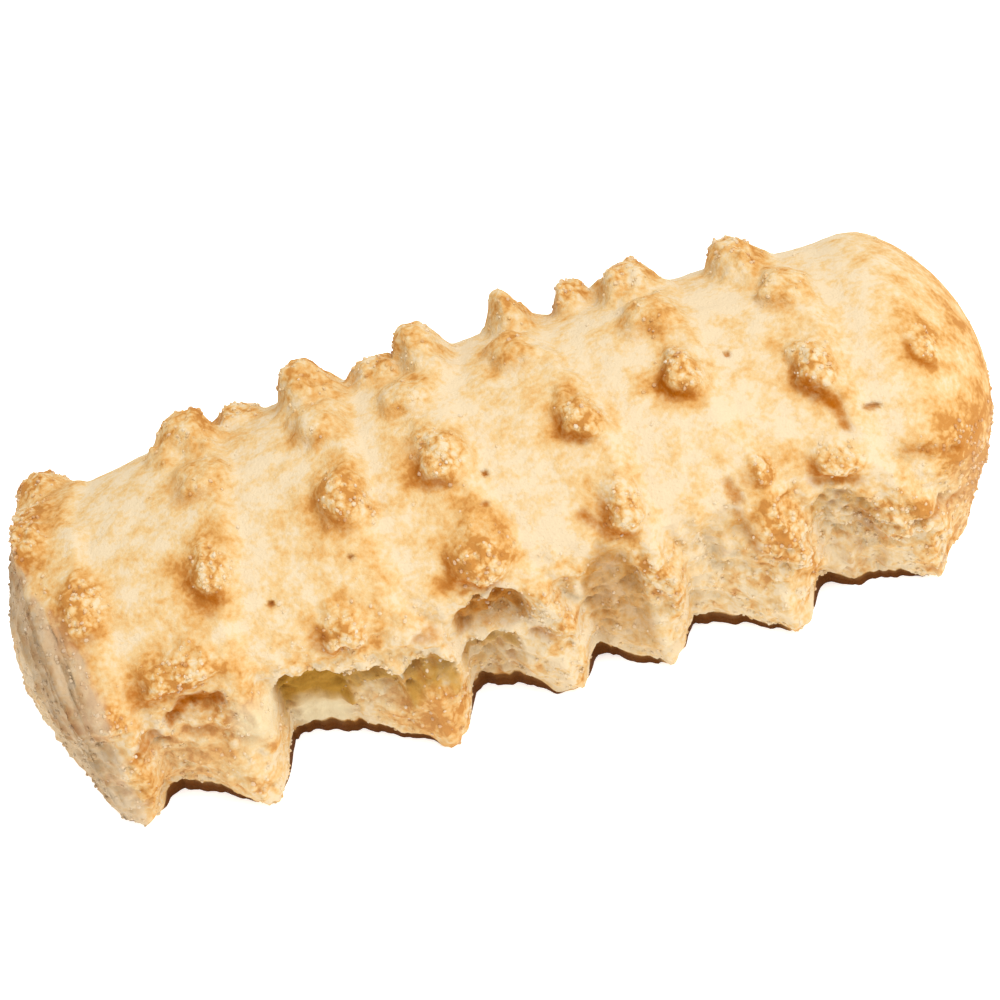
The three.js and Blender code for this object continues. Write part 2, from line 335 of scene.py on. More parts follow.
ROWS = (
    Row(-28, (-38.5, -28.0, -11.0, -3.5, 10.5, 24.0, 32.0)),
    Row(3, (-39.5, -25.0, -14.0, -0.5, 7.5, 23.0, 34.0)),
    Row(33, (-37.5, -24.0, -12.0, -1.0, 8.5, 20.0, 30.0)),
    Row(62, (-37.5, -24.5, -12.0, -1.0, 7.5, 20.5, 31.0)),
    Row(85, (-38.0, -23.5, -12.0, -2.5, 7.8, 20.8, 32.8)),
    Row(118, (-38.5, -25.0, -12.2, -2.0, 10.8, 21.0, 33.2)),
    Row(150, (-38.5, -28.0, -12.5, -1.0, 12.2, 23.0, 33.8)),
    Row(178, (-38.2, -26.6, -8.6, 2.6, 13.0, 25.2, 37.2)),
    Row(208, (-38.2, -26.0, -8.0, 3.8, 13.2, 25.8, 38.7)),
)
KNOBS = (
    Knob(-41.5, 3, 2.4, 2.2, 2.4, 0.5),
    Knob(-27.0, 3, 2.2, 2.2, 2.6, 0.5),
    Knob(-15.8, 3, 2.1, 2.1, 2.4, 0.5),
    Knob(-2.4, 3, 2.2, 2.3, 2.5, 0.5),
    Knob(5.6, 3, 2.0, 2.1, 2.3, 0.5),
    Knob(21.2, 3, 2.3, 2.2, 2.6, 0.5),
    Knob(32.3, 3, 2.2, 2.0, 2.3, 0.5),
    Knob(-41.0, 33, 2.4, 2.2, 2.5, 0.4),
    Knob(-21.2, 48, 1.8, 2.0, 1.6, 0.4),
    Knob(-13.6, 33, 2.0, 2.2, 2.4, 0.4),
    Knob(-2.6, 33, 2.1, 2.2, 2.5, 0.4),
    Knob(12.7, 50, 1.7, 2.0, 2.5, 0.4),
    Knob(18.4, 33, 2.1, 2.1, 2.4, 0.4),
    Knob(28.4, 33, 2.2, 2.3, 2.6, 0.4),
    Knob(-41.4, 62, 2.2, 2.3, 0.6, 0.1, 0.6),
    Knob(-26.0, 61, 2.9, 2.2, 2.8, 0.1, 0.6),
    Knob(-14.1, 61, 2.3, 2.2, 3.5, 0.1, 0.6),
    Knob(-7.2, 60, 2.6, 1.9, 1.6, 0.1, 0.6),
    Knob(-3.1, 61, 1.9, 2.2, 3.2, 0.1, 0.6),
    Knob(5.8, 57, 1.8, 2.1, 3.4, 0.1, 0.6),
    Knob(17.3, 59, 2.5, 2.2, 3.0, 0.1, 0.6),
    Knob(28.0, 62, 2.2, 2.3, 2.6, 0.1, 0.6),
    Knob(-42.4, 86, 2.2, 2.4, 1.9, 0.35, 0.8),
    Knob(-25.6, 91, 2.5, 1.8, 1.1, 0.25, 0.3),
    Knob(-14.0, 87, 2.0, 2.4, 1.4, 0.2, 0.3),
    Knob(-4.9, 89, 2.0, 2.0, 1.1, 0.1, 0.3),
    Knob(5.5, 84, 2.0, 2.3, 1.4, 0.15, 0.3),
    Knob(18.6, 86.5, 2.2, 2.2, 1.5, 0.15, 0.3),
    Knob(31.2, 88, 2.1, 1.9, 1.4, 0.2, 0.4),
    Knob(-38.4, 119, 1.8, 2.2, 1.2, 0.5, 0.9),
    Knob(-27.2, 126, 1.8, 2.0, 1.6, 0.8),
    Knob(-13.6, 120.5, 1.9, 2.1, 1.8, 0.5),
    Knob(-4.2, 115.5, 1.9, 2.3, 1.5, 0.75),
    Knob(9.0, 118, 1.7, 1.7, 1.9, 0.85),
    Knob(19.4, 112.5, 1.7, 1.7, 1.9, 1.0),
    Knob(31.2, 120.5, 1.9, 1.9, 1.9, 0.75),
    Knob(42.4, 121, 1.7, 1.8, 0.7, 0.8, 0.9),
    Knob(-40.2, 156, 1.7, 1.8, 1.2, 0.45),
    Knob(-32.6, 150, 3.4, 1.9, 1.7, 0.5),
    Knob(-17.6, 157.5, 1.9, 1.9, 1.2, 0.5),
    Knob(-3.2, 150, 2.5, 2.2, 1.8, 0.7, 0.9, 1.7),
    Knob(10.5, 147, 1.8, 1.9, 1.7, 0.7),
    Knob(23.4, 148, 1.1, 0.9, 0.5, 0.3, 0.8),
    Knob(30.7, 150.5, 2.2, 1.4, 1.6, 0.8),
    Knob(40.5, 154, 2.4, 1.0, 0.4, 0.25, 0.5),
    Knob(-28.9, 178, 1.9, 1.8, 0.6, 0.1, 0.7),
    Knob(1.0, 177, 1.6, 2.2, 0.9, 0.1, 0.7),
    Knob(11.6, 173, 1.6, 2.4, 0.8, 0.2, 0.7),
    Knob(23.6, 172, 2.0, 2.6, 0.9, 0.2, 0.8),
    Knob(33.8, 180, 1.9, 2.2, 1.1, 0.35, 0.7),
    Knob(44.0, 162, 2.6, 2.3, 0.8, 0.1, 0.4),
)
FRONT_LOBES = (
    Lobe(-40.6, 14.4, -37.8, 12.0),
    Lobe(-29.9, 17.0, -25.0, 9.8, 4.5),
    Lobe(-11.2, 17.1, -7.2, 11.2),
    Lobe(0.8, 16.2, 4.5, 12.3),
    Lobe(10.2, 16.8, 14.0, 11.7, 1.7),
    Lobe(22.2, 17.2, 25.9, 12.4, 2.3),
    Lobe(35.6, 15.3, 44.5, 9.0, 1.2),
)
BACK_LOBES = (
    Lobe(-40.0, 15.6, -37.0, 12.5),
    Lobe(-28.6, 17.4, -26.0, 12.0),
    Lobe(-12.0, 17.6, -9.0, 12.4),
    Lobe(-3.8, 16.4, -1.5, 12.6),
    Lobe(9.6, 17.2, 12.4, 12.4),
    Lobe(23.0, 17.4, 26.0, 12.6),
    Lobe(33.5, 16.2, 52.0, 13.0),
)
# The dark marks of the hollows paint shade under their brows and on their floors.
HOLLOWS = (
    Hollow(-21.5, 3.5, 165.5, 171, 240, 3.0, raw=1.0, shade=1.0, floor=0.0, band=36.0),
    Hollow(-16.2, 2.8, 172.5, 177, 200, 2.2, raw=0.3, shade=0.8, band=16.0),
    Hollow(-10.8, 2.6, 172.0, 178, 190, 1.5, shade=0.8, floor=0.2, band=20.0),
    Hollow(-3.9, 3.4, 157.5, 162, 178, 1.8, scorch=0.55, shade=0.6, floor=0.4, band=14.0),
    Hollow(-4.7, 2.8, 176, 181, 240, 1.6, raw=0.2, shade=0.7, floor=0.3, band=14.0),
    Hollow(7.6, 2.8, 152, 161, 215, 0.9, scorch=0.4, shade=0.6, floor=0.6, band=16.0, soft=12.0),
    Hollow(18.8, 2.2, 151, 158, 190, 0.5, shade=0.2, floor=0.3, band=14.0, soft=8.0),
    Hollow(29.6, 2.8, 157.5, 165, 240, 1.1, shade=0.3, band=14.0, soft=5.0),
    Hollow(-32.0, 3.0, 156.5, 160, 171, 0.9, scorch=0.9, floor=0.3, band=10.0, soft=5.0),
    Hollow(-37.0, 1.8, 166, 171, 182, 0.7, scorch=0.5, floor=0.2, soft=5.0),
    Hollow(-27.0, 3.2, 163, 168, 187, 0.3, raw=0.7, soft=10.0),
)
PORES = (
    Pore(-0.4, 122.4, 0.36, 0.36, 0.6),
    Pore(-14.3, 133.8, 0.34, 0.3, 0.5),
    Pore(-22.5, 138.8, 0.42, 0.34, 0.6),
    Pore(24.1, 105.8, 0.42, 0.4, 0.4),
    Pore(35.4, 134.8, 1.0, 0.4, 0.5),
    Pore(-1.2, 131.8, 0.5, 0.34, 0.4),
)
CREASES = (
    Crease((30.2, 124.0), (32.2, 131.0), 0.7, 0.9),
    Crease((32.2, 131.0), (32.4, 139.0), 0.5, 0.7),
    Crease((37.1, 152.4), (39.8, 153.6), 0.4, 0.45),
    Crease((41.2, 158.0), (42.2, 159.0), 0.55, 0.6),
    Crease((35.6, 178.0), (38.5, 178.5), 0.4, 0.6),
    Crease((39.6, 182.0), (41.5, 184.0), 0.45, 0.6),
    Crease((35.5, 205.0), (38.5, 203.0), 0.45, 0.6),
    Crease((28.2, 154.5), (31.7, 157.7), 0.6, 0.5),
    Crease((7.0, 144.5), (8.9, 152.5), 0.5, 0.7),
    Crease((20.4, 147.0), (20.7, 153.0), 0.5, 0.55),
    Crease((20.5, 159.0), (21.2, 173.0), 0.6, 0.4),
    Crease((-33.0, 174.0), (-30.0, 176.0), 0.6, 0.5),
    Crease((-0.4, 181.0), (0.9, 182.0), 0.6, 0.5),
    Crease((-10.8, 166.3), (-9.4, 166.8), 0.5, 0.4),
    Crease((-28.6, 129.5), (-27.9, 134.0), 0.55, 0.5),
)
FADES = (Fade(-34.0, -42.0, 0.08), Fade(34.0, 50.0, 0.5), Fade(10.0, -30.0, 0.1))
PATCHES = (
    Patch(-11.5, 5.5, (-4.0, 10.0), 0.6),
    Patch(-32.0, 7.0, (-16.0, 0.0), 0.25),
    Patch(0.0, 5.0, (-12.0, 0.0), -0.25),
)
ROUGHNESS = (
    Roughness(Grit(1.0, 2.4), 0.12, 0.6, 0.16, 0.35),
    Roughness(Grit(1.0, 0.95, 29.0), 0.06, 0.5, 0.15, 0.3),
)
# From the lip of the foot inwards. The darkness is painted shade under the lifted lips.
UNDERSIDE = (
    UnderLine(0.99, 0.88, 0.2),
    UnderLine(0.985, 0.75, 0.9),
    UnderLine(0.98, 0.4, 1.0),
    UnderLine(0.98, 0.0, 1.0),
    UnderLine(0.6, 0.0, 0.4),
    UnderLine(0.2, 0.0, 0.3),
)
# The unevenness of rings, knobs, brows, creases, foot, browning and the left face.
WANDER_ALONG = Grit(0.7, 3.4)
WANDER_ROUND = Grit(0.7, 3.4, 91.0)
RING_WAVES = Grit(0.5, 5.0, 61.0, broken=False)
KNOB_EDGE = Grit(0.22, 1.3, 41.0)
BROWN_EDGE = Grit(0.3, 2.2, 5.0)
BROW_WAVES = Grit(3.2, 2.1, 7.0)
BROW_TEETH = Grit(1.9, 0.8, 3.0)
CREASE_WAVER = Grit(0.5, 1.1, 67.0)
FOOT_WAVES = Grit(0.5, 2.6, 13.0)
FOOT_TEETH = Grit(0.25, 0.8, 29.0, broken=False)
LIP_WAVES = Grit(1.0, 1.9)
LIP_TEETH = Grit(0.4, 0.7, 51.0, broken=False)
BLOTCHES = Grit(1.0, 4.2)
FRECKLES = Grit(1.0, 1.5, 31.0)
SPECKS = Grit(1.0, 0.7, 55.0)
CRUMB_PATCHES = Grit(1.0, 3.0, 77.0)
FACE_EDGE = Grit(0.9, 1.6)
FACE_STREAKS = Grit(1.0, 1.0)


@dataclass(frozen=True)
class EndSizes:
    """One end of the log.

    It has how far it bulges past its rim, the powers of the bulge's curve, the share of the height that it
    loses and where it has lost it, the height that it closes to, and how far it leans.
    """

    bulge: float
    fullness: float
    rounding: float
    slump: float
    slump_at: float
    centre: float
    lean: float


@dataclass(frozen=True)
class Bevel:
    """The worn edge low on the front of the left end, between two distances from the rim."""

    depth: float = 1.8
    inner: float = 4.0
    outer: float = -0.4
    angle: float = 172.0
    half: float = 38.0


@dataclass(frozen=True)
class LogSizes:
    """The sizes of the log: its ends, rings and valleys, and where its dough is low, raw or rugged."""

    length: float = 95.0
    radius: float = 16.5
    axis_height: float = 10.1
    shift_y: float = -0.6
    left: EndSizes = EndSizes(
        bulge=4.7, fullness=2.0, rounding=1.0, slump=0.165, slump_at=42.8, centre=11.0, lean=0.06
    )
    right: EndSizes = EndSizes(
        bulge=10.5, fullness=2.2, rounding=0.6, slump=0.112, slump_at=39.75, centre=13.3, lean=0.05
    )
    bevel: Bevel = Bevel()
    end_round: float = 13.0
    right_swell: float = 1.5
    swell_along: Span = (35.5, 42.0)
    ring_height: float = 1.0
    ring_steep: float = 1.9
    ring_power: float = 1.4
    ring_shortest: float = 0.1
    ring_share: float = 0.85
    valley_depth: float = 1.9
    valley_drops: Span = (-32.0, 4.0)
    low_drops: Span = (-38.0, -2.0)
    foot_from: float = -10.0
    raw_valley: float = 0.2
    raw_drops: Span = (-18.0, -4.0)
    raw_smooth: float = 0.65
    rugged_depth: float = 1.2
    dark_crescent_sink: float = 0.4

    @property
    def left_rim(self) -> float:
        """Where the left end starts to close."""
        return self.left.bulge - self.length / 2

    @property
    def right_rim(self) -> float:
        """Where the right end starts to close."""
        return self.length / 2 - self.right.bulge


@dataclass(frozen=True)
class FootSizes:
    """How the edge of the foot climbs its lobes, rounds its corners and lifts off the floor in its gaps."""

    climb_power: float = 1.45
    corner: float = 0.6
    lip_height: float = 2.4
    left_power: float = 0.8
    right_power: float = 6.0
    lift_power: float = 0.6
    left_settle: float = 14.0
    right_settle: float = 8.0
    ragged: float = 0.15
    ragged_gap: float = 0.55
    lift_limits: Span = (0.05, 3.0)
    front_pattern: float = 3.0
    back_pattern: float = 60.0


@dataclass(frozen=True)
class KnobSlopes:
    """How wide a knob's slope is on each side, and how far from its middle its grain and browning reach.

    Distances are in half lengths and half heights of the knob. The dark crescent, scorching with painted
    shade on the side away from the lamp, lies low on its left, in a wide halo and a dark core, and each has
    its turn from that side and the distances where it starts and stops.
    """

    left: float = 1.05
    right: float = 1.1
    up: float = 1.7
    down: float = 0.8
    plateau: float = 0.3
    foot: float = 1.5
    crown: Span = (1.5, 0.5)
    crown_spread: float = 0.5
    toast: Span = (2.3, 0.6)
    dark_side_down: float = 0.62
    dark_side_left: float = 0.78
    middle: float = 0.05
    halo_turn: Span = (-0.4, 0.6)
    halo_start: Span = (0.4, 0.9)
    halo_stop: Span = (2.9, 1.1)
    core_turn: Span = (0.0, 0.7)
    core_start: Span = (0.7, 0.95)
    core_stop: Span = (1.6, 1.0)
    core_spread: float = 0.6


@dataclass(frozen=True)
class CutEdges:
    """How the scoops, creases and pores run out at their edges."""

    stretch: tuple[float, float, float] = (1.0, 0.3, 0.3)
    wide: Span = (1.1, 0.8)
    band_core: float = 0.65
    bare_wide: Span = (1.1, 0.4)
    bare_foot: Span = (3.0, -8.0)
    crisp_above: float = 1.0
    crisp_half: float = 3.0
    crease: Span = (1.9, 0.0)
    pore: Span = (1.1, 0.5)
    pore_scorch_and_shade: float = 0.65


@dataclass(frozen=True)
class Browning:
    """What each thing on the skin adds to its browning or takes from it, and the values where it works."""

    plain: float = 0.09
    crest: float = 0.2
    crest_saw: Span = (0.55, 0.95)
    crest_blotch: Span = (-0.4, 0.6)
    crown_paler: float = 0.1
    knob: float = 0.36
    low_knob_paler: float = 0.6
    low_knob_drops: Span = (-14.0, -4.0)
    # Browning in the halo of a knob's dark crescent, which is partly painted shade.
    halo: float = 0.5
    blotch: float = 0.16
    valley_paler: float = 0.08
    valley_saw: Span = (0.12, 0.0)
    freckle: float = 0.14
    freckle_low: float = 0.45
    freckle_level: Span = (0.35, 0.8)
    low: float = 0.06
    right_foot: float = 0.6
    right_foot_drops: Span = (-26.0, 6.0)
    right_foot_waver: float = 14.0
    brow_paler: float = 0.6
    lip_paler: float = 0.25
    lip_share: Span = (0.86, 0.98)
    speck: float = 0.4
    speck_level: Span = (0.1, 0.7)
    # How far scorching and painted shade also raise the browning, and with what power.
    scorched_and_shaded: float = 0.85
    scorched_and_shaded_power: float = 0.8


@dataclass(frozen=True)
class Crumbling:
    """How crumbly the skin is in its patches, low down, on brows and at the ends."""

    patch: float = 0.06
    patch_level: Span = (-0.5, 0.7)
    low: float = 0.3
    low_patch: float = 0.4
    brow: float = 0.6
    left_end: float = 0.25
    left_end_along: Span = (-38.5, -42.0)
    right_foot: float = 0.5
    right_foot_drops: Span = (-10.0, 10.0)
    scorched_and_shaded_less: float = 0.7


@dataclass(frozen=True)
class Places:
    """Places on the log: along it, round it, and in space on a plain round log, to look unevenness up."""

    along: Array
    angle: Array
    points: Array

    @property
    def front(self) -> Array:
        """Whether each place is on the front."""
        return self.angle > TOP

    @property
    def drop(self) -> Array:
        """Degrees below the centre line."""
        return np.where(self.front, self.angle - FRONT, -self.angle)


@dataclass
class Layers:
    """Layers over the skin, each of which keeps the highest value that is laid on it at a place."""

    @classmethod
    def over(cls, places: Places) -> Self:
        """Layers that are 0 at some places."""
        return cls(*(np.zeros(places.along.shape) for _ in fields(cls)))

    def lay(self, **values: Array) -> None:
        """Lays values on the layers of these names."""
        for name, value in values.items():
            setattr(self, name, np.maximum(getattr(self, name), value))


@dataclass
class Relief(Layers):
    """The knobs' share of the skin: its rise, crowns, browning, and crescents of scorching and painted
    shade.
    """

    rise: Array
    crown: Array
    toast: Array
    halo: Array
    scorch: Array


@dataclass
class Scoops(Layers):
    """The hollows' share of the skin: their depth, raw places, two marks of painted shade, and brows."""

    depth: Array
    raw: Array
    scorch: Array
    shade: Array
    edge: Array


@dataclass
class Cuts(Layers):
    """The share of creases or pores: how deep the skin is cut, and how dark it is there from scorching and
    painted shade.
    """

    depth: Array
    scorch: Array


@dataclass(frozen=True)
class Form:
    """All that shapes and colours the skin: its parts, and how low, raw and rugged each place is."""

    knobs: Relief
    saw: Array
    scoops: Scoops
    creases: Cuts
    pores: Cuts
    low: Array
    raw: Array
    rugged: Array


@dataclass(frozen=True)
class Skin:
    """The surface of the dough at some places: its radius and its marks."""

    radius: Array
    marks: dict[Mark, Array]


@dataclass
class Dough:
    """The shape of the dough: how far its skin lies from the log's centre line, and its marks."""

    LEFT_END = -54.0
    RIGHT_END = 52.0
    RIGHT_FOOT_FROM = (35.0, 44.0)
    RIGHT_FOOT_TO = (54.0, 46.0)

    sizes: LogSizes = LogSizes()
    foot: FootSizes = FootSizes()
    slopes: KnobSlopes = KnobSlopes()
    edges: CutEdges = CutEdges()
    browning: Browning = Browning()
    crumbling: Crumbling = Crumbling()
    bend: Unevenness = field(default_factory=lambda: Unevenness(11))
    crag: Unevenness = field(default_factory=lambda: Unevenness(23))
    mottle: Unevenness = field(default_factory=lambda: Unevenness(37))

    def places(self, along: Array, angle: Array) -> Places:
        """Places on the log.

        Args:
            along: Millimetres along the log.
            angle: Degrees round it.

        Returns:
            The places.
        """
        turn = angle * DEGREE
        points = [along, self.sizes.radius * np.cos(turn), self.sizes.radius * np.sin(turn)]
        return Places(along, angle, np.stack(points, axis=-1))

    def saw(self, places: Places) -> Array:
        """How high each place lies on its ring: 1 on the crest, 0 just to the right of the one before.

        Args:
            places: Places on the log.

        Returns:
            Shares of the ring's height.
        """
        sizes = self.sizes
        angles = [row.angle for row in ROWS]
        lines = [np.interp(places.angle, angles, crests) for crests in zip(*(row.crests for row in ROWS))]
        left, right = (np.full(places.along.shape, end) for end in (self.LEFT_END, self.RIGHT_END))
        lines = [left, *lines, right]
        share = np.zeros(places.along.shape)
        for before, after in zip(lines, lines[1:]):
            past = places.along - before
            fall = 1.0 - ramp(0.0, sizes.ring_steep, past)
            run = np.maximum(after - before - sizes.ring_steep, sizes.ring_shortest)
            climb = np.clip((past - sizes.ring_steep) / run, 0.0, 1.0) ** sizes.ring_power
            inside = (past >= 0.0) & (places.along < after)
            share = np.where(inside, np.maximum(fall, climb), share)
        return share

    def foot_line(self, along: Array, front: bool) -> tuple[Array, Array]:
        """Where the lip of the foot runs: far out on the lobes, drawn in and lifted in the gaps.

        Args:
            along: Millimetres along the log.
            front: True for the front foot, false for the back one.

        Returns:
            How far the lip lies from the centre line, and its height above the floor.
        """
        foot = self.foot
        lobes = FRONT_LOBES if front else BACK_LOBES
        near = [self._sawtooth(along + step, lobes) for step in (-foot.corner, 0.0, foot.corner)]
        reach, free = (sum(lines) / len(near) for lines in zip(*near))
        pattern = foot.front_pattern if front else foot.back_pattern
        line = np.stack(np.broadcast_arrays(along, pattern, 0.0), axis=-1)
        reach = reach + self.crag.layer(line, FOOT_WAVES) + self.crag.layer(line, FOOT_TEETH)
        ragged = self.crag.layer(line, LIP_WAVES) + self.crag.layer(line, LIP_TEETH)
        lift = foot.lip_height * free**foot.lift_power + (foot.ragged + foot.ragged_gap * free) * ragged
        return reach, np.clip(lift, *foot.lift_limits)

    def _sawtooth(self, along: Array, lobes: tuple[Lobe, ...]) -> tuple[Array, Array]:
        """The foot before it is rounded and roughened.

        Args:
            along: Millimetres along the log.
            lobes: The lobes of one side.

        Returns:
            How far the foot lies from the centre line, and how free of the floor it is.
        """
        foot = self.foot
        reach = np.full(along.shape, lobes[-1].gap)
        free = np.zeros(along.shape)
        start, gap = self.LEFT_END, lobes[0].gap
        for lobe in lobes:
            climb = np.clip((along - start) / (lobe.tip - start), 0.0, 1.0)
            fall = np.clip((along - lobe.tip) / (lobe.edge - lobe.tip), 0.0, 1.0)
            here = gap + (lobe.reach - gap) * climb**foot.climb_power
            here = here - (lobe.reach - lobe.gap) * fall**lobe.flank
            lifted = np.maximum((1.0 - climb) ** foot.left_power, fall**foot.right_power)
            inside = (along >= start) & (along < lobe.edge)
            reach = np.where(inside, here, reach)
            free = np.where(inside, lifted, free)
            start, gap = lobe.edge, lobe.gap
        free = free * ramp(start, start - foot.right_settle, along)
        return reach, free * ramp(self.LEFT_END, self.LEFT_END + foot.left_settle, along)

    def lip(self, along: Array, front: Array | bool) -> tuple[Array, Array]:
        """Where the skin ends at the foot.

        Args:
            along: Millimetres along the log.
            front: Whether each place is on the front of the log.

        Returns:
            The lip's distance from the centre line, and the degrees that it lies below it.
        """
        sides = [self.foot_line(along, side) for side in (True, False)]
        reach = np.where(front, sides[0][0], sides[1][0])
        fall = self.sizes.axis_height - np.where(front, sides[0][1], sides[1][1])
        return np.hypot(reach, fall), np.arctan2(fall, reach) / DEGREE

    def knob_relief(self, places: Places) -> Relief:
        """What the knobs do to the skin.

        Args:
            places: Places on the log.

        Returns:
            The knobs' rise and browning.
        """
        slopes = self.slopes
        relief = Relief.over(places)
        ragged = self.bend.layer(places.points, KNOB_EDGE)
        spread = self.mottle.layer(places.points, BROWN_EDGE)
        for knob in KNOBS:
            past = places.along - knob.along
            down = (places.angle - knob.angle) * DEGREE * self.sizes.radius * knob.down
            across = past / (knob.long * np.where(past > 0, slopes.right, slopes.left))
            fall = down / (knob.tall * np.where(down > 0, slopes.down, slopes.up))
            level = np.hypot(across, fall)
            far = level + ragged
            # The crescent on the lower left, away from the lamp, is scorching together with painted shade.
            facing = slopes.dark_side_down * fall - slopes.dark_side_left * across
            facing = facing / np.maximum(level, slopes.middle)
            halo = ramp(*slopes.halo_turn, facing) * ramp(*slopes.halo_start, far)
            core = ramp(*slopes.core_turn, facing) * ramp(*slopes.core_start, far)
            relief.lay(
                rise=knob.out * ramp(slopes.foot, slopes.plateau, far),
                crown=knob.grain * ramp(*slopes.crown, far + slopes.crown_spread * spread),
                toast=knob.brown * ramp(*slopes.toast, far + spread),
                halo=knob.scorch * (halo * ramp(*slopes.halo_stop, far + spread)),
                scorch=knob.scorch * (core * ramp(*slopes.core_stop, far + slopes.core_spread * spread)),
            )
        return relief

    def scoops(self, places: Places) -> Scoops:
        """What the hollows of the front do to the skin.

        Args:
            places: Places on the log.

        Returns:
            The hollows' depth and marks.
        """
        edges, angle = self.edges, places.angle
        scoops = Scoops.over(places)
        flat = places.points * np.array(edges.stretch)
        ragged = self.crag.layer(flat, BROW_WAVES) + self.crag.layer(flat, BROW_TEETH)
        for hollow in HOLLOWS:
            off = (places.along - hollow.middle) / hollow.half
            brow = hollow.top + (hollow.side - hollow.top) * off**2 + ragged
            wide = ramp(*edges.wide, np.abs(off))
            inside = wide * ramp(brow, brow + hollow.soft, angle)
            share = inside * ramp(hollow.foot, (hollow.foot + brow) / 2.0, angle)
            # Painted shade: a band under the brow, and a share of it over the scoop.
            under = inside * ramp(brow + hollow.band, brow + edges.band_core * hollow.band, angle)
            dark = np.maximum(under, hollow.floor * share)
            bare_foot = (hollow.foot + step for step in edges.bare_foot)
            bare = inside * ramp(*edges.bare_wide, np.abs(off)) * ramp(*bare_foot, angle)
            crisp = wide * hump((angle - brow + edges.crisp_above) / edges.crisp_half)
            scoops.lay(
                depth=hollow.depth * share,
                raw=hollow.raw * bare,
                scorch=hollow.scorch * dark,
                shade=hollow.shade * dark,
                edge=crisp * (SHARP_BROW / hollow.soft) ** 2,
            )
        return scoops

    def creases(self, places: Places) -> Cuts:
        """The creases of the skin.

        Args:
            places: Places on the log.

        Returns:
            Their depth, and their darkness from scorching and painted shade.
        """
        cuts = Cuts.over(places)
        arc = DEGREE * self.sizes.radius
        waver = self.crag.layer(places.points, CREASE_WAVER)
        for crease in CREASES:
            run = crease.stop[0] - crease.start[0], (crease.stop[1] - crease.start[1]) * arc
            here = places.along - crease.start[0], (places.angle - crease.start[1]) * arc
            share = (here[0] * run[0] + here[1] * run[1]) / (run[0] ** 2 + run[1] ** 2)
            share = np.clip(share, 0.0, 1.0)
            far = np.hypot(here[0] - share * run[0], here[1] - share * run[1]) / crease.half + waver
            inside = ramp(*self.edges.crease, far)
            cuts.lay(depth=crease.depth * inside, scorch=crease.scorch * inside)
        return cuts

    def pores(self, places: Places) -> Cuts:
        """The pores of the skin.

        Args:
            places: Places on the log.

        Returns:
            Their depth, and their darkness from scorching and painted shade.
        """
        cuts = Cuts.over(places)
        for pore in PORES:
            around = (places.angle - pore.angle) * DEGREE * self.sizes.radius
            far = np.hypot((places.along - pore.along) / pore.long, around / pore.tall)
            hole = ramp(*self.edges.pore, far)
            cuts.lay(depth=pore.depth * hole, scorch=self.edges.pore_scorch_and_shade * hole)
        return cuts

    def skin(self, along: Array, angle: Array) -> Skin:
        """The dough's skin at some places along and round the log.

        Args:
            along: Millimetres along the log.
            angle: Degrees round it.

        Returns:
            The radius and the marks at each place.
        """
        places = self.places(along, angle)
        form = self._form(places)
        radius, to_foot = self._shape(places, form)
        # Scorching and painted shade together; they also raise the browning.
        scorch = self._scorch(places, form)
        scorched_and_shaded = self.browning.scorched_and_shaded * scorch**self.browning.scorched_and_shaded_power
        marks = {
            Mark.TOAST: np.maximum(self._toast(places, form, to_foot), scorched_and_shaded),
            Mark.SCORCH: scorch,
            Mark.SHADE: form.scoops.shade,
            Mark.RAW: form.raw,
            Mark.CRUMB: self._crumb(places, form, scorch),
            Mark.CUT: np.zeros(along.shape),
            Mark.BASE: np.zeros(along.shape),
        }
        return Skin(radius, {mark: np.clip(values, 0.0, 1.0) for mark, values in marks.items()})

    def _form(self, places: Places) -> Form:
        """All that shapes and colours the skin, with rings and knobs that wander from their lines.

        Args:
            places: Places on the log.

        Returns:
            The form at each place.
        """
        sizes, drop = self.sizes, places.drop
        along = places.along + self.bend.layer(places.points, WANDER_ALONG)
        angle = places.angle + self.bend.layer(places.points, WANDER_ROUND) / (sizes.radius * DEGREE)
        wandering = replace(places, along=along, angle=angle)
        saw = self.saw(wandering)
        scoops = self.scoops(places)
        bare = sizes.raw_valley * (1.0 - saw) * ramp(*sizes.raw_drops, drop) * places.front
        return Form(
            knobs=self.knob_relief(wandering),
            saw=saw,
            scoops=scoops,
            creases=self.creases(places),
            pores=self.pores(places),
            low=ramp(*sizes.low_drops, drop),
            raw=np.maximum(scoops.raw, bare),
            rugged=np.clip(scoops.depth / sizes.rugged_depth, 0.0, 1.0),
        )

    def _shape(self, places: Places, form: Form) -> tuple[Array, Array]:
        """How far the skin lies from the centre line.

        Args:
            places: Places on the log.
            form: The form there.

        Returns:
            The radius, and how far each place has gone over into the lip of the foot.
        """
        sizes, along, drop = self.sizes, places.along, places.drop
        bevel, rim = sizes.bevel, sizes.left_rim
        valley = sizes.valley_depth * (1.0 - form.saw) * ramp(*sizes.valley_drops, drop)
        ring = sizes.ring_share + self.bend.layer(places.points, RING_WAVES)
        ring = sizes.ring_height * form.saw * ring
        swell = sizes.right_swell * ramp(*sizes.swell_along, along)
        worn = bevel.depth * ramp(rim + bevel.inner, rim + bevel.outer, along)
        worn = worn * hump((places.angle - bevel.angle) / bevel.half)
        radius = sizes.radius + form.knobs.rise + ring + swell - valley - form.scoops.depth - worn
        lip_radius, lip_drop = self.lip(along, places.front)
        to_foot = ramp(sizes.foot_from, lip_drop, drop)
        radius += (lip_radius - radius) * to_foot
        radius += sum(self._rough(places, form, layer) for layer in ROUGHNESS)
        radius -= sizes.dark_crescent_sink * form.knobs.scorch + form.creases.depth
        return radius - form.pores.depth, to_foot

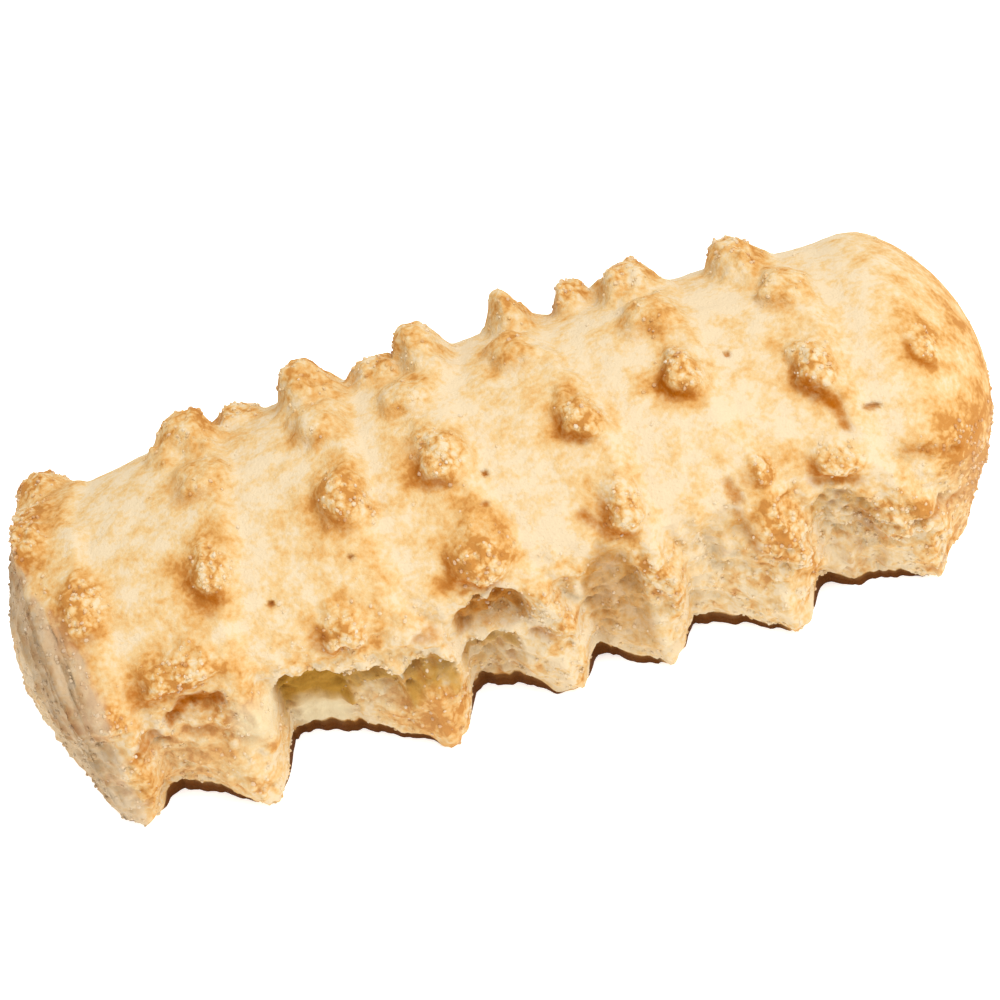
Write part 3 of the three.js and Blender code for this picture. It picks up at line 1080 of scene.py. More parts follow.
    def _rough(self, places: Places, form: Form, layer: Roughness) -> Array:
        """One layer of roughness, which raw dough has less of.

        Args:
            places: Places on the log.
            form: The form there.
            layer: The layer.

        Returns:
            Heights up and down.
        """
        height = layer.plain + layer.low * form.low + layer.crown * form.knobs.crown
        height = (height + layer.scoop * form.rugged) * (1.0 - self.sizes.raw_smooth * form.raw)
        return height * self.crag.layer(places.points, layer.grit)

    def _right_foot(self, along: Array) -> Array:
        """1 along the last lobe on the right, fading out on either side of it."""
        return ramp(*self.RIGHT_FOOT_FROM, along) * ramp(*self.RIGHT_FOOT_TO, along)

    def _scorch(self, places: Places, form: Form) -> Array:
        """How dark the skin is from scorching and from painted shade.

        Args:
            places: Places on the log.
            form: The form there.

        Returns:
            Shares from 0 to 1.
        """
        brown = self.browning
        level = ramp(*brown.speck_level, self.mottle.layer(places.points, SPECKS))
        specks = brown.speck * form.rugged * (1.0 - form.raw) * level
        parts = [form.knobs, form.scoops, form.creases, form.pores]
        return np.maximum.reduce([specks, *(part.scorch for part in parts)])

    def _toast(self, places: Places, form: Form, to_foot: Array) -> Array:
        """How brown the skin is before its places of scorching and painted shade.

        Args:
            places: Places on the log.
            form: The form there.
            to_foot: How far each place has gone over into the lip of the foot.

        Returns:
            Shares, which may pass 0 and 1.
        """
        brown, knobs, along, drop = self.browning, form.knobs, places.along, places.drop
        blotch = self.mottle.layer(places.points, BLOTCHES)
        freckle = ramp(*brown.freckle_level, self.mottle.layer(places.points, FRECKLES))
        crest = ramp(*brown.crest_saw, form.saw) * ramp(*brown.crest_blotch, blotch)
        toast = brown.plain + brown.crest * crest - brown.crown_paler * knobs.crown
        low_knob = 1.0 - brown.low_knob_paler * ramp(*brown.low_knob_drops, drop)
        toast += brown.knob * knobs.toast * low_knob + brown.halo * knobs.halo
        toast += brown.blotch * blotch - brown.valley_paler * ramp(*brown.valley_saw, form.saw)
        toast += freckle * (brown.freckle + brown.freckle_low * form.low) + brown.low * form.low
        toast += sum(fade.toast * ramp(fade.start, fade.stop, along) for fade in FADES)
        for patch in PATCHES:
            toast += patch.toast * hump((along - patch.middle) / patch.half) * ramp(*patch.drops, drop)
        right_low = ramp(*brown.right_foot_drops, drop + brown.right_foot_waver * blotch)
        toast += brown.right_foot * self._right_foot(along) * right_low
        toast -= brown.brow_paler * form.scoops.edge + brown.lip_paler * ramp(*brown.lip_share, to_foot)
        return toast

    def _crumb(self, places: Places, form: Form, scorch: Array) -> Array:
        """How crumbly the skin is.

        Args:
            places: Places on the log.
            form: The form there.
            scorch: How dark it is from scorching and painted shade.

        Returns:
            Shares, which may pass 1.
        """
        crumbling, along = self.crumbling, places.along
        patchy = ramp(*crumbling.patch_level, self.mottle.layer(places.points, CRUMB_PATCHES))
        low = form.low * (1.0 - form.raw) * (crumbling.low + crumbling.low_patch * patchy)
        crumb = form.knobs.crown + crumbling.patch * patchy + low + crumbling.brow * form.scoops.edge
        left = crumbling.left_end * ramp(*crumbling.left_end_along, along)
        right = crumbling.right_foot * self._right_foot(along)
        crumb += left + right * ramp(*crumbling.right_foot_drops, places.drop)
        return crumb * (1.0 - crumbling.scorched_and_shaded_less * scorch)


class NodeBench:
    """Adds nodes to one tree and joins them."""

    NOISE_MIDDLE = 0.5
    WARP_SIZE = 0.8
    WARP_PUSH = 1.1
    WARP_DETAIL = 2.0
    MIX_UNDER = 6
    MIX_OVER = 7

    def __init__(self, tree: bpy.types.NodeTree) -> None:
        """Takes the shader or geometry tree to work on."""
        self.tree = tree

    def add(self, kind: str, inputs: Inputs | None = None, **settings: object) -> bpy.types.Node:
        """Adds one node.

        Args:
            kind: Blender's name for the node.
            inputs: What goes into its sockets: another node's output, or a value.
            settings: The node's own settings.

        Returns:
            The node.
        """
        node = self.tree.nodes.new(kind)
        for name, value in settings.items():
            setattr(node, name, value)
        for key, value in (inputs or {}).items():
            if isinstance(value, Socket):
                self.tree.links.new(value, node.inputs[key])
            else:
                node.inputs[key].default_value = value
        return node

    def maths(self, operation: str, first: object, second: object) -> Socket:
        """The result of a sum on two numbers or sockets."""
        return self.add("ShaderNodeMath", {0: first, 1: second}, operation=operation).outputs[0]

    def scaled(self, vector: Socket, factor: object) -> Socket:
        """A vector times a number."""
        return self.add("ShaderNodeVectorMath", {0: vector, "Scale": factor}, operation="SCALE").outputs[0]

    def mix(self, share: object, under: object, over: object) -> Socket:
        """One colour laid over another by a share."""
        inputs = {0: share, self.MIX_UNDER: under, self.MIX_OVER: over}
        return self.add("ShaderNodeMix", inputs, data_type="RGBA").outputs[2]

    def painted(self, mark: Mark) -> Socket:
        """A mark of the surface, read in a material."""
        return self.add("ShaderNodeAttribute", attribute_name=mark.value).outputs["Fac"]

    def noise(self, place: Socket, size: float, detail: float) -> Socket:
        """Noise of a given size in millimetres, from about -0.5 to 0.5."""
        inputs = {"Vector": place, "Scale": 1.0 / (size * MM), "Detail": detail}
        return self.maths("SUBTRACT", self.add("ShaderNodeTexNoise", inputs).outputs[0], self.NOISE_MIDDLE)

    def warped(self, place: Socket) -> Socket:
        """Places pushed about by up to half a millimetre either way, which makes cells uneven.

        Args:
            place: The places.

        Returns:
            The places after the push.
        """
        inputs = {"Vector": place, "Scale": 1.0 / (self.WARP_SIZE * MM), "Detail": self.WARP_DETAIL}
        push = self.add("ShaderNodeTexNoise", inputs).outputs["Color"]
        step = self.scaled(push, self.WARP_PUSH * MM)
        return self.add("ShaderNodeVectorMath", {0: place, 1: step}, operation="ADD").outputs[0]

    def surface(self, inputs: Inputs) -> None:
        """Ends a material in a surface with these inputs."""
        shader = self.add("ShaderNodeBsdfPrincipled", inputs)
        self.add("ShaderNodeOutputMaterial", {"Surface": shader.outputs["BSDF"]})


def new_material(name: str) -> tuple[bpy.types.Material, NodeBench]:
    """Makes an empty material.

    Args:
        name: The material's name.

    Returns:
        The material, and a bench for its nodes.
    """
    material = bpy.data.materials.new(name)
    material.use_nodes = True
    material.node_tree.nodes.clear()
    return material, NodeBench(material.node_tree)


def keep_in_box(mesh: bpy.types.Mesh) -> None:
    """Presses the few points that stand out of the solid's box back onto it.

    Args:
        mesh: The mesh to change, in the row's frame.
    """
    points = np.empty(len(mesh.vertices) * 3, dtype=np.float32)
    mesh.vertices.foreach_get("co", points)
    points = np.clip(points.reshape(-1, 3), np.array(CAD_BOX[0]), np.array(CAD_BOX[1]))
    mesh.vertices.foreach_set("co", points.ravel().astype(np.float32))
    mesh.update()


class GeometryTree:
    """A geometry tree with named inputs, run once on an object."""

    KINDS = {float: "NodeSocketFloat", int: "NodeSocketInt", bpy.types.Material: "NodeSocketMaterial"}

    def __init__(self, name: str, values: dict[str, object]) -> None:
        """Starts the tree.

        Args:
            name: The tree's name.
            values: Each input's name and what it is set to, with a material among them.
        """
        self.values = values
        self.tree = bpy.data.node_groups.new(name, "GeometryNodeTree")
        face = self.tree.interface
        face.new_socket("Geometry", in_out="INPUT", socket_type="NodeSocketGeometry")
        for label, value in values.items():
            face.new_socket(label, in_out="INPUT", socket_type=self.KINDS[type(value)])
        face.new_socket("Geometry", in_out="OUTPUT", socket_type="NodeSocketGeometry")
        self.bench = NodeBench(self.tree)
        self.given = self.bench.add("NodeGroupInput").outputs

    def mark(self, mark: Mark) -> Socket:
        """A mark of the skin at each point."""
        node = self.bench.add("GeometryNodeInputNamedAttribute", {"Name": mark.value}, data_type="FLOAT")
        return node.outputs["Attribute"]

    def store(self, geometry: Socket, mark: Mark, value: Socket, carrier: Carrier) -> Socket:
        """Writes a mark on geometry.

        Args:
            geometry: The geometry.
            mark: Which mark it is.
            value: The mark's values.
            carrier: What it is written on.

        Returns:
            The geometry with the mark.
        """
        inputs = {"Geometry": geometry, "Name": mark.value, "Value": value}
        kinds = {"data_type": "FLOAT", "domain": carrier.value}
        return self.bench.add("GeometryNodeStoreNamedAttribute", inputs, **kinds).outputs[0]

    def run(self, geometry: Socket, piece: bpy.types.Object) -> None:
        """Ends the tree, runs it on an object and keeps the result as the object's plain mesh.

        Args:
            geometry: What the tree has made.
            piece: The object, whose mesh goes into the tree.
        """
        whole = self.bench.add("GeometryNodeRealizeInstances", {0: geometry}).outputs[0]
        dressed = self.bench.add("GeometryNodeSetMaterial", {0: whole, "Material": self.given["Material"]})
        self.bench.add("NodeGroupOutput", {0: dressed.outputs[0]})
        modifier = piece.modifiers.new(self.tree.name, "NODES")
        modifier.node_group = self.tree
        for item in self.tree.interface.items_tree:
            if item.in_out == "INPUT" and item.name in self.values:
                modifier[item.identifier] = self.values[item.name]
        evaluated = piece.evaluated_get(bpy.context.evaluated_depsgraph_get())
        mesh = bpy.data.meshes.new_from_object(evaluated)
        piece.modifiers.clear()
        piece.data = mesh
        mesh.name = piece.name
        keep_in_box(mesh)


@dataclass(frozen=True)
class CrustFinish:
    """Baked shortcrust: pale between the knobs, toasted on them, scorched and with painted shade under
    them, and with painted shade in hollows, pits and under the foot.
    """

    pale: Colour = shown(250, 226, 186)
    golden: Colour = shown(247, 209, 148)
    toasted: Colour = shown(238, 180, 104)
    deep: Colour = shown(214, 146, 70)
    # Scorching, and painted shade on knobs, in hollows, creases and pores.
    scorched_and_shaded: Colour = shown(184, 100, 4)
    # Painted shade in the hollows under the brows.
    painted_shade_colour: Colour = shown(200, 150, 60)
    raw: Colour = shown(250, 232, 190)
    cut: Colour = shown(232, 204, 168)
    crumb: Colour = shown(253, 234, 204)
    # The underside's brown, and painted shade under the lifted lips.
    base: Colour = shown(112, 62, 16)
    golden_at: float = 0.35
    toasted_at: float = 0.72
    blotch_size: float = 2.2
    blotch_detail: float = 3.0
    blotch: float = 1.6
    speck_size: float = 0.5
    dust_size: float = 0.22
    fine_detail: float = 2.0
    tip_paler: float = 0.4
    pit_size: float = 0.75
    pit_level: float = 0.5
    pit: float = 1.5
    crumb_tint: float = 0.55
    bump: float = 0.6
    bump_height: float = 0.15
    roughness: float = 0.85
    specular: float = 0.08

    def material(self) -> bpy.types.Material:
        """The crust's material, coloured by the marks of the skin.

        Returns:
            The material.
        """
        material, bench = new_material("baked_crust")
        place = bench.add("ShaderNodeTexCoord").outputs["Object"]
        speck = bench.noise(place, self.speck_size, self.fine_detail)
        colour = self._browned(bench, self._toast(bench, place, speck))
        scorch = bench.maths("MULTIPLY", bench.painted(Mark.SCORCH), bench.maths("ADD", 1.0, speck))
        # Among the coats are painted shade in hollows, scorching with painted shade, and the dark underside
        # with painted shade.
        coats = (
            (bench.painted(Mark.RAW), self.raw),
            (bench.painted(Mark.SHADE), self.painted_shade_colour),
            (scorch, self.scorched_and_shaded),
            (bench.painted(Mark.CUT), self.cut),
            (bench.maths("MULTIPLY", bench.painted(Mark.TINT), self.crumb_tint), self.crumb),
            (bench.painted(Mark.BASE), self.base),
        )
        for share, coat in coats:
            colour = bench.mix(share, colour, coat)
        grain = bench.maths("ADD", speck, bench.noise(place, self.dust_size, self.fine_detail))
        relief = {"Height": grain, "Strength": self.bump, "Distance": self.bump_height * MM}
        bench.surface(
            {
                "Base Color": colour,
                "Roughness": self.roughness,
                "Specular IOR Level": self.specular,
                "Normal": bench.add("ShaderNodeBump", relief).outputs["Normal"],
            }
        )
        return material

    def _toast(self, bench: NodeBench, place: Socket, speck: Socket) -> Socket:
        """How brown the crust is, with blotches, specks, pale tips and painted shade in the pits between
        its grains.

        Args:
            bench: The material's bench.
            place: The places on the crust.
            speck: Fine noise.

        Returns:
            Shares from pale to deep brown.
        """
        blotch = bench.noise(place, self.blotch_size, self.blotch_detail)
        toast = bench.maths("ADD", bench.painted(Mark.TOAST), bench.maths("MULTIPLY", blotch, self.blotch))
        toast = bench.maths("ADD", toast, speck)
        tips = bench.maths("MULTIPLY", bench.painted(Mark.TIP), self.tip_paler)
        toast = bench.maths("SUBTRACT", toast, tips)
        # Painted shade: browner pits between the grains where the skin is crumbly.
        cells = {"Vector": bench.warped(place), "Scale": 1.0 / (self.pit_size * MM)}
        pits = bench.add("ShaderNodeTexVoronoi", cells).outputs["Distance"]
        pits = bench.maths("MULTIPLY", bench.maths("SUBTRACT", pits, self.pit_level), self.pit)
        return bench.maths("ADD", toast, bench.maths("MULTIPLY", pits, bench.painted(Mark.CRUMB)))

    def _browned(self, bench: NodeBench, toast: Socket) -> Socket:
        """The colours of baking, from pale to deep brown.

        Args:
            bench: The material's bench.
            toast: How brown the crust is.

        Returns:
            The colour.
        """
        shade = bench.add("ShaderNodeValToRGB", {"Fac": toast})
        stops = shade.color_ramp.elements
        stops[0].position, stops[0].color = 0.0, self.pale
        stops[1].position, stops[1].color = 1.0, self.deep
        stops.new(self.golden_at).color = self.golden
        stops.new(self.toasted_at).color = self.toasted
        return shade.outputs["Color"]


@dataclass(frozen=True)
class SugarFinish:
    """Sugar grains, white to cream."""

    white: Colour = shown(252, 234, 206)
    cream: Colour = shown(244, 208, 158)
    roughness: float = 0.7

    def material(self) -> bpy.types.Material:
        """The grains' material: each grain takes its own shade between the two colours.

        Returns:
            The material.
        """
        material, bench = new_material("sugar_grains")
        colour = bench.mix(bench.painted(Mark.TINT), self.white, self.cream)
        bench.surface({"Base Color": colour, "Roughness": self.roughness})
        return material


@dataclass(frozen=True)
class FloorFinish:
    """White paper under the biscuit, with a little light of its own."""

    colour: Colour = (0.9, 0.9, 0.9, 1.0)
    roughness: float = 0.9
    glow: float = 0.6

    def material(self) -> bpy.types.Material:
        """The floor's material.

        Returns:
            The material.
        """
        material, bench = new_material("white_floor")
        bench.surface(
            {
                "Base Color": self.colour,
                "Roughness": self.roughness,
                "Emission Color": WHITE,
                "Emission Strength": self.glow,
            }
        )
        return material


@dataclass(frozen=True)
class LeftFace:
    """The left end's flat face of streaked layers, which starts at a ragged edge round the log."""

    # Degrees round the log, and how far along it the face starts there.
    EDGE = (
        (90, -43.0),
        (115, -41.0),
        (130, -39.6),
        (145, -39.4),
        (157, -39.8),
        (168, -39.7),
        (185, -40.2),
    )

    edge: Span = (-0.8, 1.0)
    streaks_along: float = 2.8
    streak_turn: float = 15.0
    layer_height: float = 0.35
    layer_scales: Span = (0.0, 0.5)
    cut: float = 0.35
    cut_streak: float = 0.4
    cut_level: Span = (-0.5, 0.4)
    brown: float = 0.06
    brown_front: float = 0.14
    brown_angles: Span = (178.0, 155.0)
    brown_streak: float = 0.34
    brown_level: Span = (0.2, -0.5)
    brown_from: Span = (0.0, 2.0)
    brown_to: Span = (12.0, 6.0)
    crumb: float = 0.6

    def dress(self, dough: Dough, marks: dict[Mark, Array], along: Array, angle: Array) -> Array:
        """Marks the face on the skin.

        Args:
            dough: The dough.
            marks: The marks of the skin to change, one row for each column.
            along: Each column's place along the dough.
            angle: The degrees round the log of each point of each column.

        Returns:
            How far the layers stand out, from about -1 to 1.
        """
        wide = np.broadcast_to(along[:, None], angle.shape)
        edge = np.interp(angle, *zip(*self.EDGE))
        past = edge - wide + dough.mottle.layer(dough.places(wide, angle).points, FACE_EDGE)
        face = ramp(*self.edge, past)
        lines = np.stack([wide * self.streaks_along, angle / self.streak_turn, 0.0 * angle], axis=-1)
        streak = dough.mottle.layer(lines, FACE_STREAKS)
        brown = self.brown + self.brown_front * ramp(*self.brown_angles, angle)
        brown = brown + self.brown_streak * ramp(*self.brown_level, streak)
        marks[Mark.CUT] = face * (self.cut + self.cut_streak * ramp(*self.cut_level, streak))
        marks[Mark.BASE] = ramp(*self.brown_from, past) * ramp(*self.brown_to, past) * brown
        marks[Mark.CRUMB] += (self.crumb - marks[Mark.CRUMB]) * face
        marks[Mark.SCORCH] *= 1.0 - face
        return face * streak


@dataclass(frozen=True)
class Columns:
    """The columns of the skin: each one's place along the dough, its x, and the share of its section."""

    along: Array
    x: Array
    scale: Array


@dataclass
class BiscuitBody:
    """The log as one closed skin of fine faces."""

    LUMP_RADIUS = 0.5
    LOWEST_LUMP = 0.5

    dough: Dough
    finish: CrustFinish
    face: LeftFace = LeftFace()
    length_steps: int = 300
    end_steps: int = 24
    back_steps: int = 66
    front_steps: int = 188
    front_from: float = 58.0
    under_toast: float = 0.6
    # The lip's lifts over which the underside's painted shade comes in.
    under_lifts: Span = (0.15, 0.8)
    under_scales: Span = (1.0, 0.95)
    ripple_size: float = 0.9
    ripple_height: float = 0.32
    ripple_detail: float = 2.0
    grain_size: float = 0.75
    grain_height: float = 0.24
    coarse_size: float = 2.1
    coarse_height: float = 1.6
    everywhere: float = 0.35
    seed: float = 3.0

    def build(self) -> bpy.types.Object:
        """Makes the body, roughens it and dresses it.

        Returns:
            The finished piece.
        """
        points, marks = self._rings(self._columns())
        mesh = self._mesh(points)
        for mark, values in marks.items():
            layer = mesh.attributes.new(mark.value, "FLOAT", Carrier.POINT.value)
            layer.data.foreach_set("value", values.astype(np.float32))
        piece = bpy.data.objects.new("biscuit_body", mesh)
        bpy.context.scene.collection.objects.link(piece)
        self._roughen(piece)
        return piece

    def _columns(self) -> Columns:
        """The columns of the skin from the left end to the right.

        Returns:
            The columns.
        """
        sizes = self.dough.sizes
        left = [values[::-1] for values in self._closing(-1.0, sizes.left_rim, sizes.left)]
        right = self._closing(1.0, sizes.right_rim, sizes.right)
        body = np.linspace(sizes.left_rim, sizes.right_rim, self.length_steps + 1)
        middle = body, body, np.ones(len(body))
        return Columns(*(np.concatenate(values) for values in zip(left, middle, right)))

    def _closing(self, side: float, rim: float, end: EndSizes) -> tuple[Array, Array, Array]:
        """The columns of one end, from its rim to the last before its middle.

        Args:
            side: -1 for the left end, 1 for the right one.
            rim: Where the end starts to close.
            end: The end's sizes.

        Returns:
            What the columns hold.
        """
        scale = np.cos(np.arange(1, self.end_steps) / self.end_steps * math.pi / 2)
        past = side * end.bulge * (1.0 - scale**end.fullness) ** end.rounding
        over = side * np.hypot(past, self.dough.sizes.radius * (1.0 - scale))
        return rim + over, rim + past, scale

    def _rings(self, columns: Columns) -> tuple[Array, dict[Mark, Array]]:
        """All points of the skin and their marks.

        Args:
            columns: The columns of the skin.

        Returns:
            The points, column after column with the two poles last, and their marks.
        """
        sizes = self.dough.sizes
        angle = self._angles(columns.along)
        skin = self.dough.skin(np.repeat(columns.along[:, None], angle.shape[1], axis=1), angle)
        streak = self.face.dress(self.dough, skin.marks, columns.along, angle)
        streak = np.concatenate([streak, self._across(streak)], axis=1)
        grid = self._closed(columns, *self._sections(skin.radius, angle))
        layers = self.face.layer_height * streak
        grid[:, :, 0] += layers * ramp(*self.face.layer_scales, columns.scale)[:, None]
        poles = [
            [side * sizes.length / 2, 0.0, (1.0 - end.slump) * end.centre]
            for side, end in ((-1.0, sizes.left), (1.0, sizes.right))
        ]
        points = np.concatenate([grid.reshape(-1, 3), np.array(poles)])
        points += np.array([0.0, sizes.shift_y, 0.0])
        marks = {mark: self._under(columns, values, mark) for mark, values in skin.marks.items()}
        flat = {mark: np.concatenate([v.ravel(), [v[0].mean(), v[-1].mean()]]) for mark, v in marks.items()}
        return points * MM, flat

    def _angles(self, along: Array) -> Array:
        """The degrees round the log of each point of each column, from the back lip to the front lip.

        Args:
            along: Each column's place along the dough.

        Returns:
            One row for each column, finer on the front.
        """
        middle = self.front_from
        start = -self.dough.lip(along, False)[1][:, None]
        stop = FRONT + self.dough.lip(along, True)[1][:, None]
        back = np.linspace(0.0, 1.0, self.back_steps + 1)[None, :-1]
        front = np.linspace(0.0, 1.0, self.front_steps + 1)[None, :]
        return np.concatenate([start + (middle - start) * back, middle + (stop - middle) * front], axis=1)

    def _sections(self, radius: Array, angle: Array) -> tuple[Array, Array]:
        """The sections of the log with their undersides, before the ends are closed.

        Args:
            radius: The skin's distance from the centre line.
            angle: The degrees round the log.

        Returns:
            The y and z of each point of each column.
        """
        y = radius * np.cos(angle * DEGREE)
        z = np.maximum(0.0, self.dough.sizes.axis_height + radius * np.sin(angle * DEGREE))
        reach = np.array([line.reach for line in UNDERSIDE])
        height = np.array([line.height for line in UNDERSIDE])
        y = np.concatenate([y, y[:, -1:] * reach, y[:, :1] * reach[::-1]], axis=1)
        z = np.concatenate([z, z[:, -1:] * height, z[:, :1] * height[::-1]], axis=1)
        return y, z

    def _closed(self, columns: Columns, y: Array, z: Array) -> Array:
        """The points of the skin, with its ends closed, slumped and leaning.

        Args:
            columns: The columns of the skin.
            y: The y of each point of each column.
            z: Its z.

        Returns:
            The points, one row for each column.
        """
        sizes, along, x = self.dough.sizes, columns.along, columns.x
        scale = columns.scale[:, None]
        centre = np.where(x < 0, sizes.left.centre, sizes.right.centre)[:, None]
        part = scale * (sizes.end_round / np.hypot(y, z - centre) * (1.0 - scale) + scale)
        rise = (z - centre) * part
        lean = sizes.left.lean * ramp(sizes.left_rim / 2, sizes.left_rim, along)
        lean += sizes.right.lean * ramp(sizes.right_rim / 2, sizes.right_rim, along)
        slump = np.where(along < 0, sizes.left.slump, sizes.right.slump)
        slump_at = np.where(along < 0, sizes.left.slump_at, sizes.right.slump_at)
        kept = (1.0 - slump * np.minimum(1.0, (along / slump_at) ** 2))[:, None]
        return np.stack([x[:, None] - lean[:, None] * rise, y * part, kept * (centre + rise)], axis=-1)

    def _across(self, values: Array) -> Array:
        """Values on the underside, evenly from those on the front lip to those on the back lip."""
        share = np.linspace(0.0, 1.0, 2 * len(UNDERSIDE) + 2)[None, 1:-1]
        return values[:, -1:] * (1.0 - share) + values[:, :1] * share

    def _under(self, columns: Columns, values: Array, mark: Mark) -> Array:
        """A mark carried on over the underside, which is brown, with painted shade that is darkest in the
        gaps of the foot.

        The underside of a closing end is dressed like the rest of the end.

        Args:
            columns: The columns of the skin.
            values: The mark on the skin, one row for each column.
            mark: Which mark it is.

        Returns:
            The mark on the skin and the underside.
        """
        dark = np.array([line.dark for line in UNDERSIDE])
        lifts = (self.dough.foot_line(columns.along, side)[1] for side in (True, False))
        front, back = (ramp(*self.under_lifts, lift)[:, None] for lift in lifts)
        level = np.concatenate([front * dark, back * dark[::-1]], axis=1)
        known = {Mark.TOAST: np.full(level.shape, self.under_toast), Mark.BASE: level}
        under = known.get(mark, np.zeros(level.shape))
        end = ramp(*self.under_scales, columns.scale)[:, None]
        return np.concatenate([values, under + (self._across(values) - under) * end], axis=1)

    def _mesh(self, points: Array) -> bpy.types.Mesh:
        """The closed mesh through the points.

        Args:
            points: Column after column, with the two poles last.

        Returns:
            The mesh, faces outwards and smooth.
        """
        around = self.back_steps + self.front_steps + 1 + 2 * len(UNDERSIDE)
        columns = (len(points) - 2) // around
        ring = np.arange(around)
        after = (ring + 1) % around
        first = (np.arange(columns - 1) * around)[:, None]
        here, turned = first + ring, first + after
        quads = np.stack([here, turned, turned + around, here + around], axis=-1).reshape(-1, 4)
        last = (columns - 1) * around
        left_pole = np.full(around, columns * around)
        left = np.stack([left_pole, after, ring], axis=-1)
        right = np.stack([left_pole + 1, last + ring, last + after], axis=-1)
        mesh = bpy.data.meshes.new("biscuit_body")
        mesh.from_pydata(points.tolist(), [], quads.tolist() + left.tolist() + right.tolist())
        mesh.polygons.foreach_set("use_smooth", np.ones(len(mesh.polygons), dtype=bool))
        mesh.update()
        return mesh

    def _roughen(self, piece: bpy.types.Object) -> None:
        """Ripples the skin with Geometry Nodes, and raises grains where it is crumbly.

        Args:
            piece: The body, whose mesh is replaced by the rough one.
        """
        sizes = {
            "Ripple Size": self.ripple_size * MM,
            "Ripple Height": self.ripple_height * MM,
            "Grain Size": self.grain_size * MM,
            "Grain Height": self.grain_height * MM,
            "Everywhere": self.everywhere,
            "Seed": self.seed,
        }
        tree = GeometryTree("crumb_relief", sizes | {"Material": self.finish.material()})
        bench, given = tree.bench, tree.given
        place = bench.add("GeometryNodeInputPosition").outputs[0]
        noise = {
            "Vector": place,
            "W": given["Seed"],
            "Scale": bench.maths("DIVIDE", 1.0, given["Ripple Size"]),
            "Detail": self.ripple_detail,
        }
        ripple = bench.add("ShaderNodeTexNoise", noise, noise_dimensions="4D").outputs[0]
        level = bench.maths("SUBTRACT", ripple, bench.NOISE_MIDDLE)
        swell = bench.maths("MULTIPLY", level, given["Ripple Height"])
        share = bench.maths("MAXIMUM", tree.mark(Mark.CRUMB), given["Everywhere"])
        coarse = bench.maths("MULTIPLY", self._lumps(tree, place, self.coarse_size), self.coarse_height)
        lumps = bench.maths("ADD", self._lumps(tree, place, 1.0), coarse)
        tip = bench.maths("MULTIPLY", lumps, tree.mark(Mark.CRUMB))
        grains = bench.maths("MULTIPLY", tip, given["Grain Height"])
        height = bench.maths("ADD", bench.maths("MULTIPLY", swell, share), grains)
        offset = bench.scaled(bench.add("GeometryNodeInputNormal").outputs[0], height)
        moved = bench.add("GeometryNodeSetPosition", {"Geometry": given["Geometry"], "Offset": offset})
        tree.run(tree.store(moved.outputs[0], Mark.TIP, tip, Carrier.POINT), piece)

    def _lumps(self, tree: GeometryTree, place: Socket, coarse: float) -> Socket:
        """Rounded lumps of uneven height.

        Args:
            tree: The tree of the relief.
            place: The points of the skin.
            coarse: How many times the grain size the lumps are across.

        Returns:
            The lumps' height.
        """
        bench, given = tree.bench, tree.given
        scale = bench.maths("DIVIDE", 1.0, bench.maths("MULTIPLY", given["Grain Size"], coarse))
        inputs = {"Vector": bench.warped(place), "W": given["Seed"], "Scale": scale}
        cells = bench.add("ShaderNodeTexVoronoi", inputs, voronoi_dimensions="4D").outputs
        chance = bench.add("ShaderNodeSeparateXYZ", {0: cells["Color"]}).outputs[0]
        round_top = bench.maths("SUBTRACT", self.LUMP_RADIUS, cells["Distance"])
        return bench.maths("MULTIPLY", round_top, bench.maths("ADD", self.LOWEST_LUMP, chance))


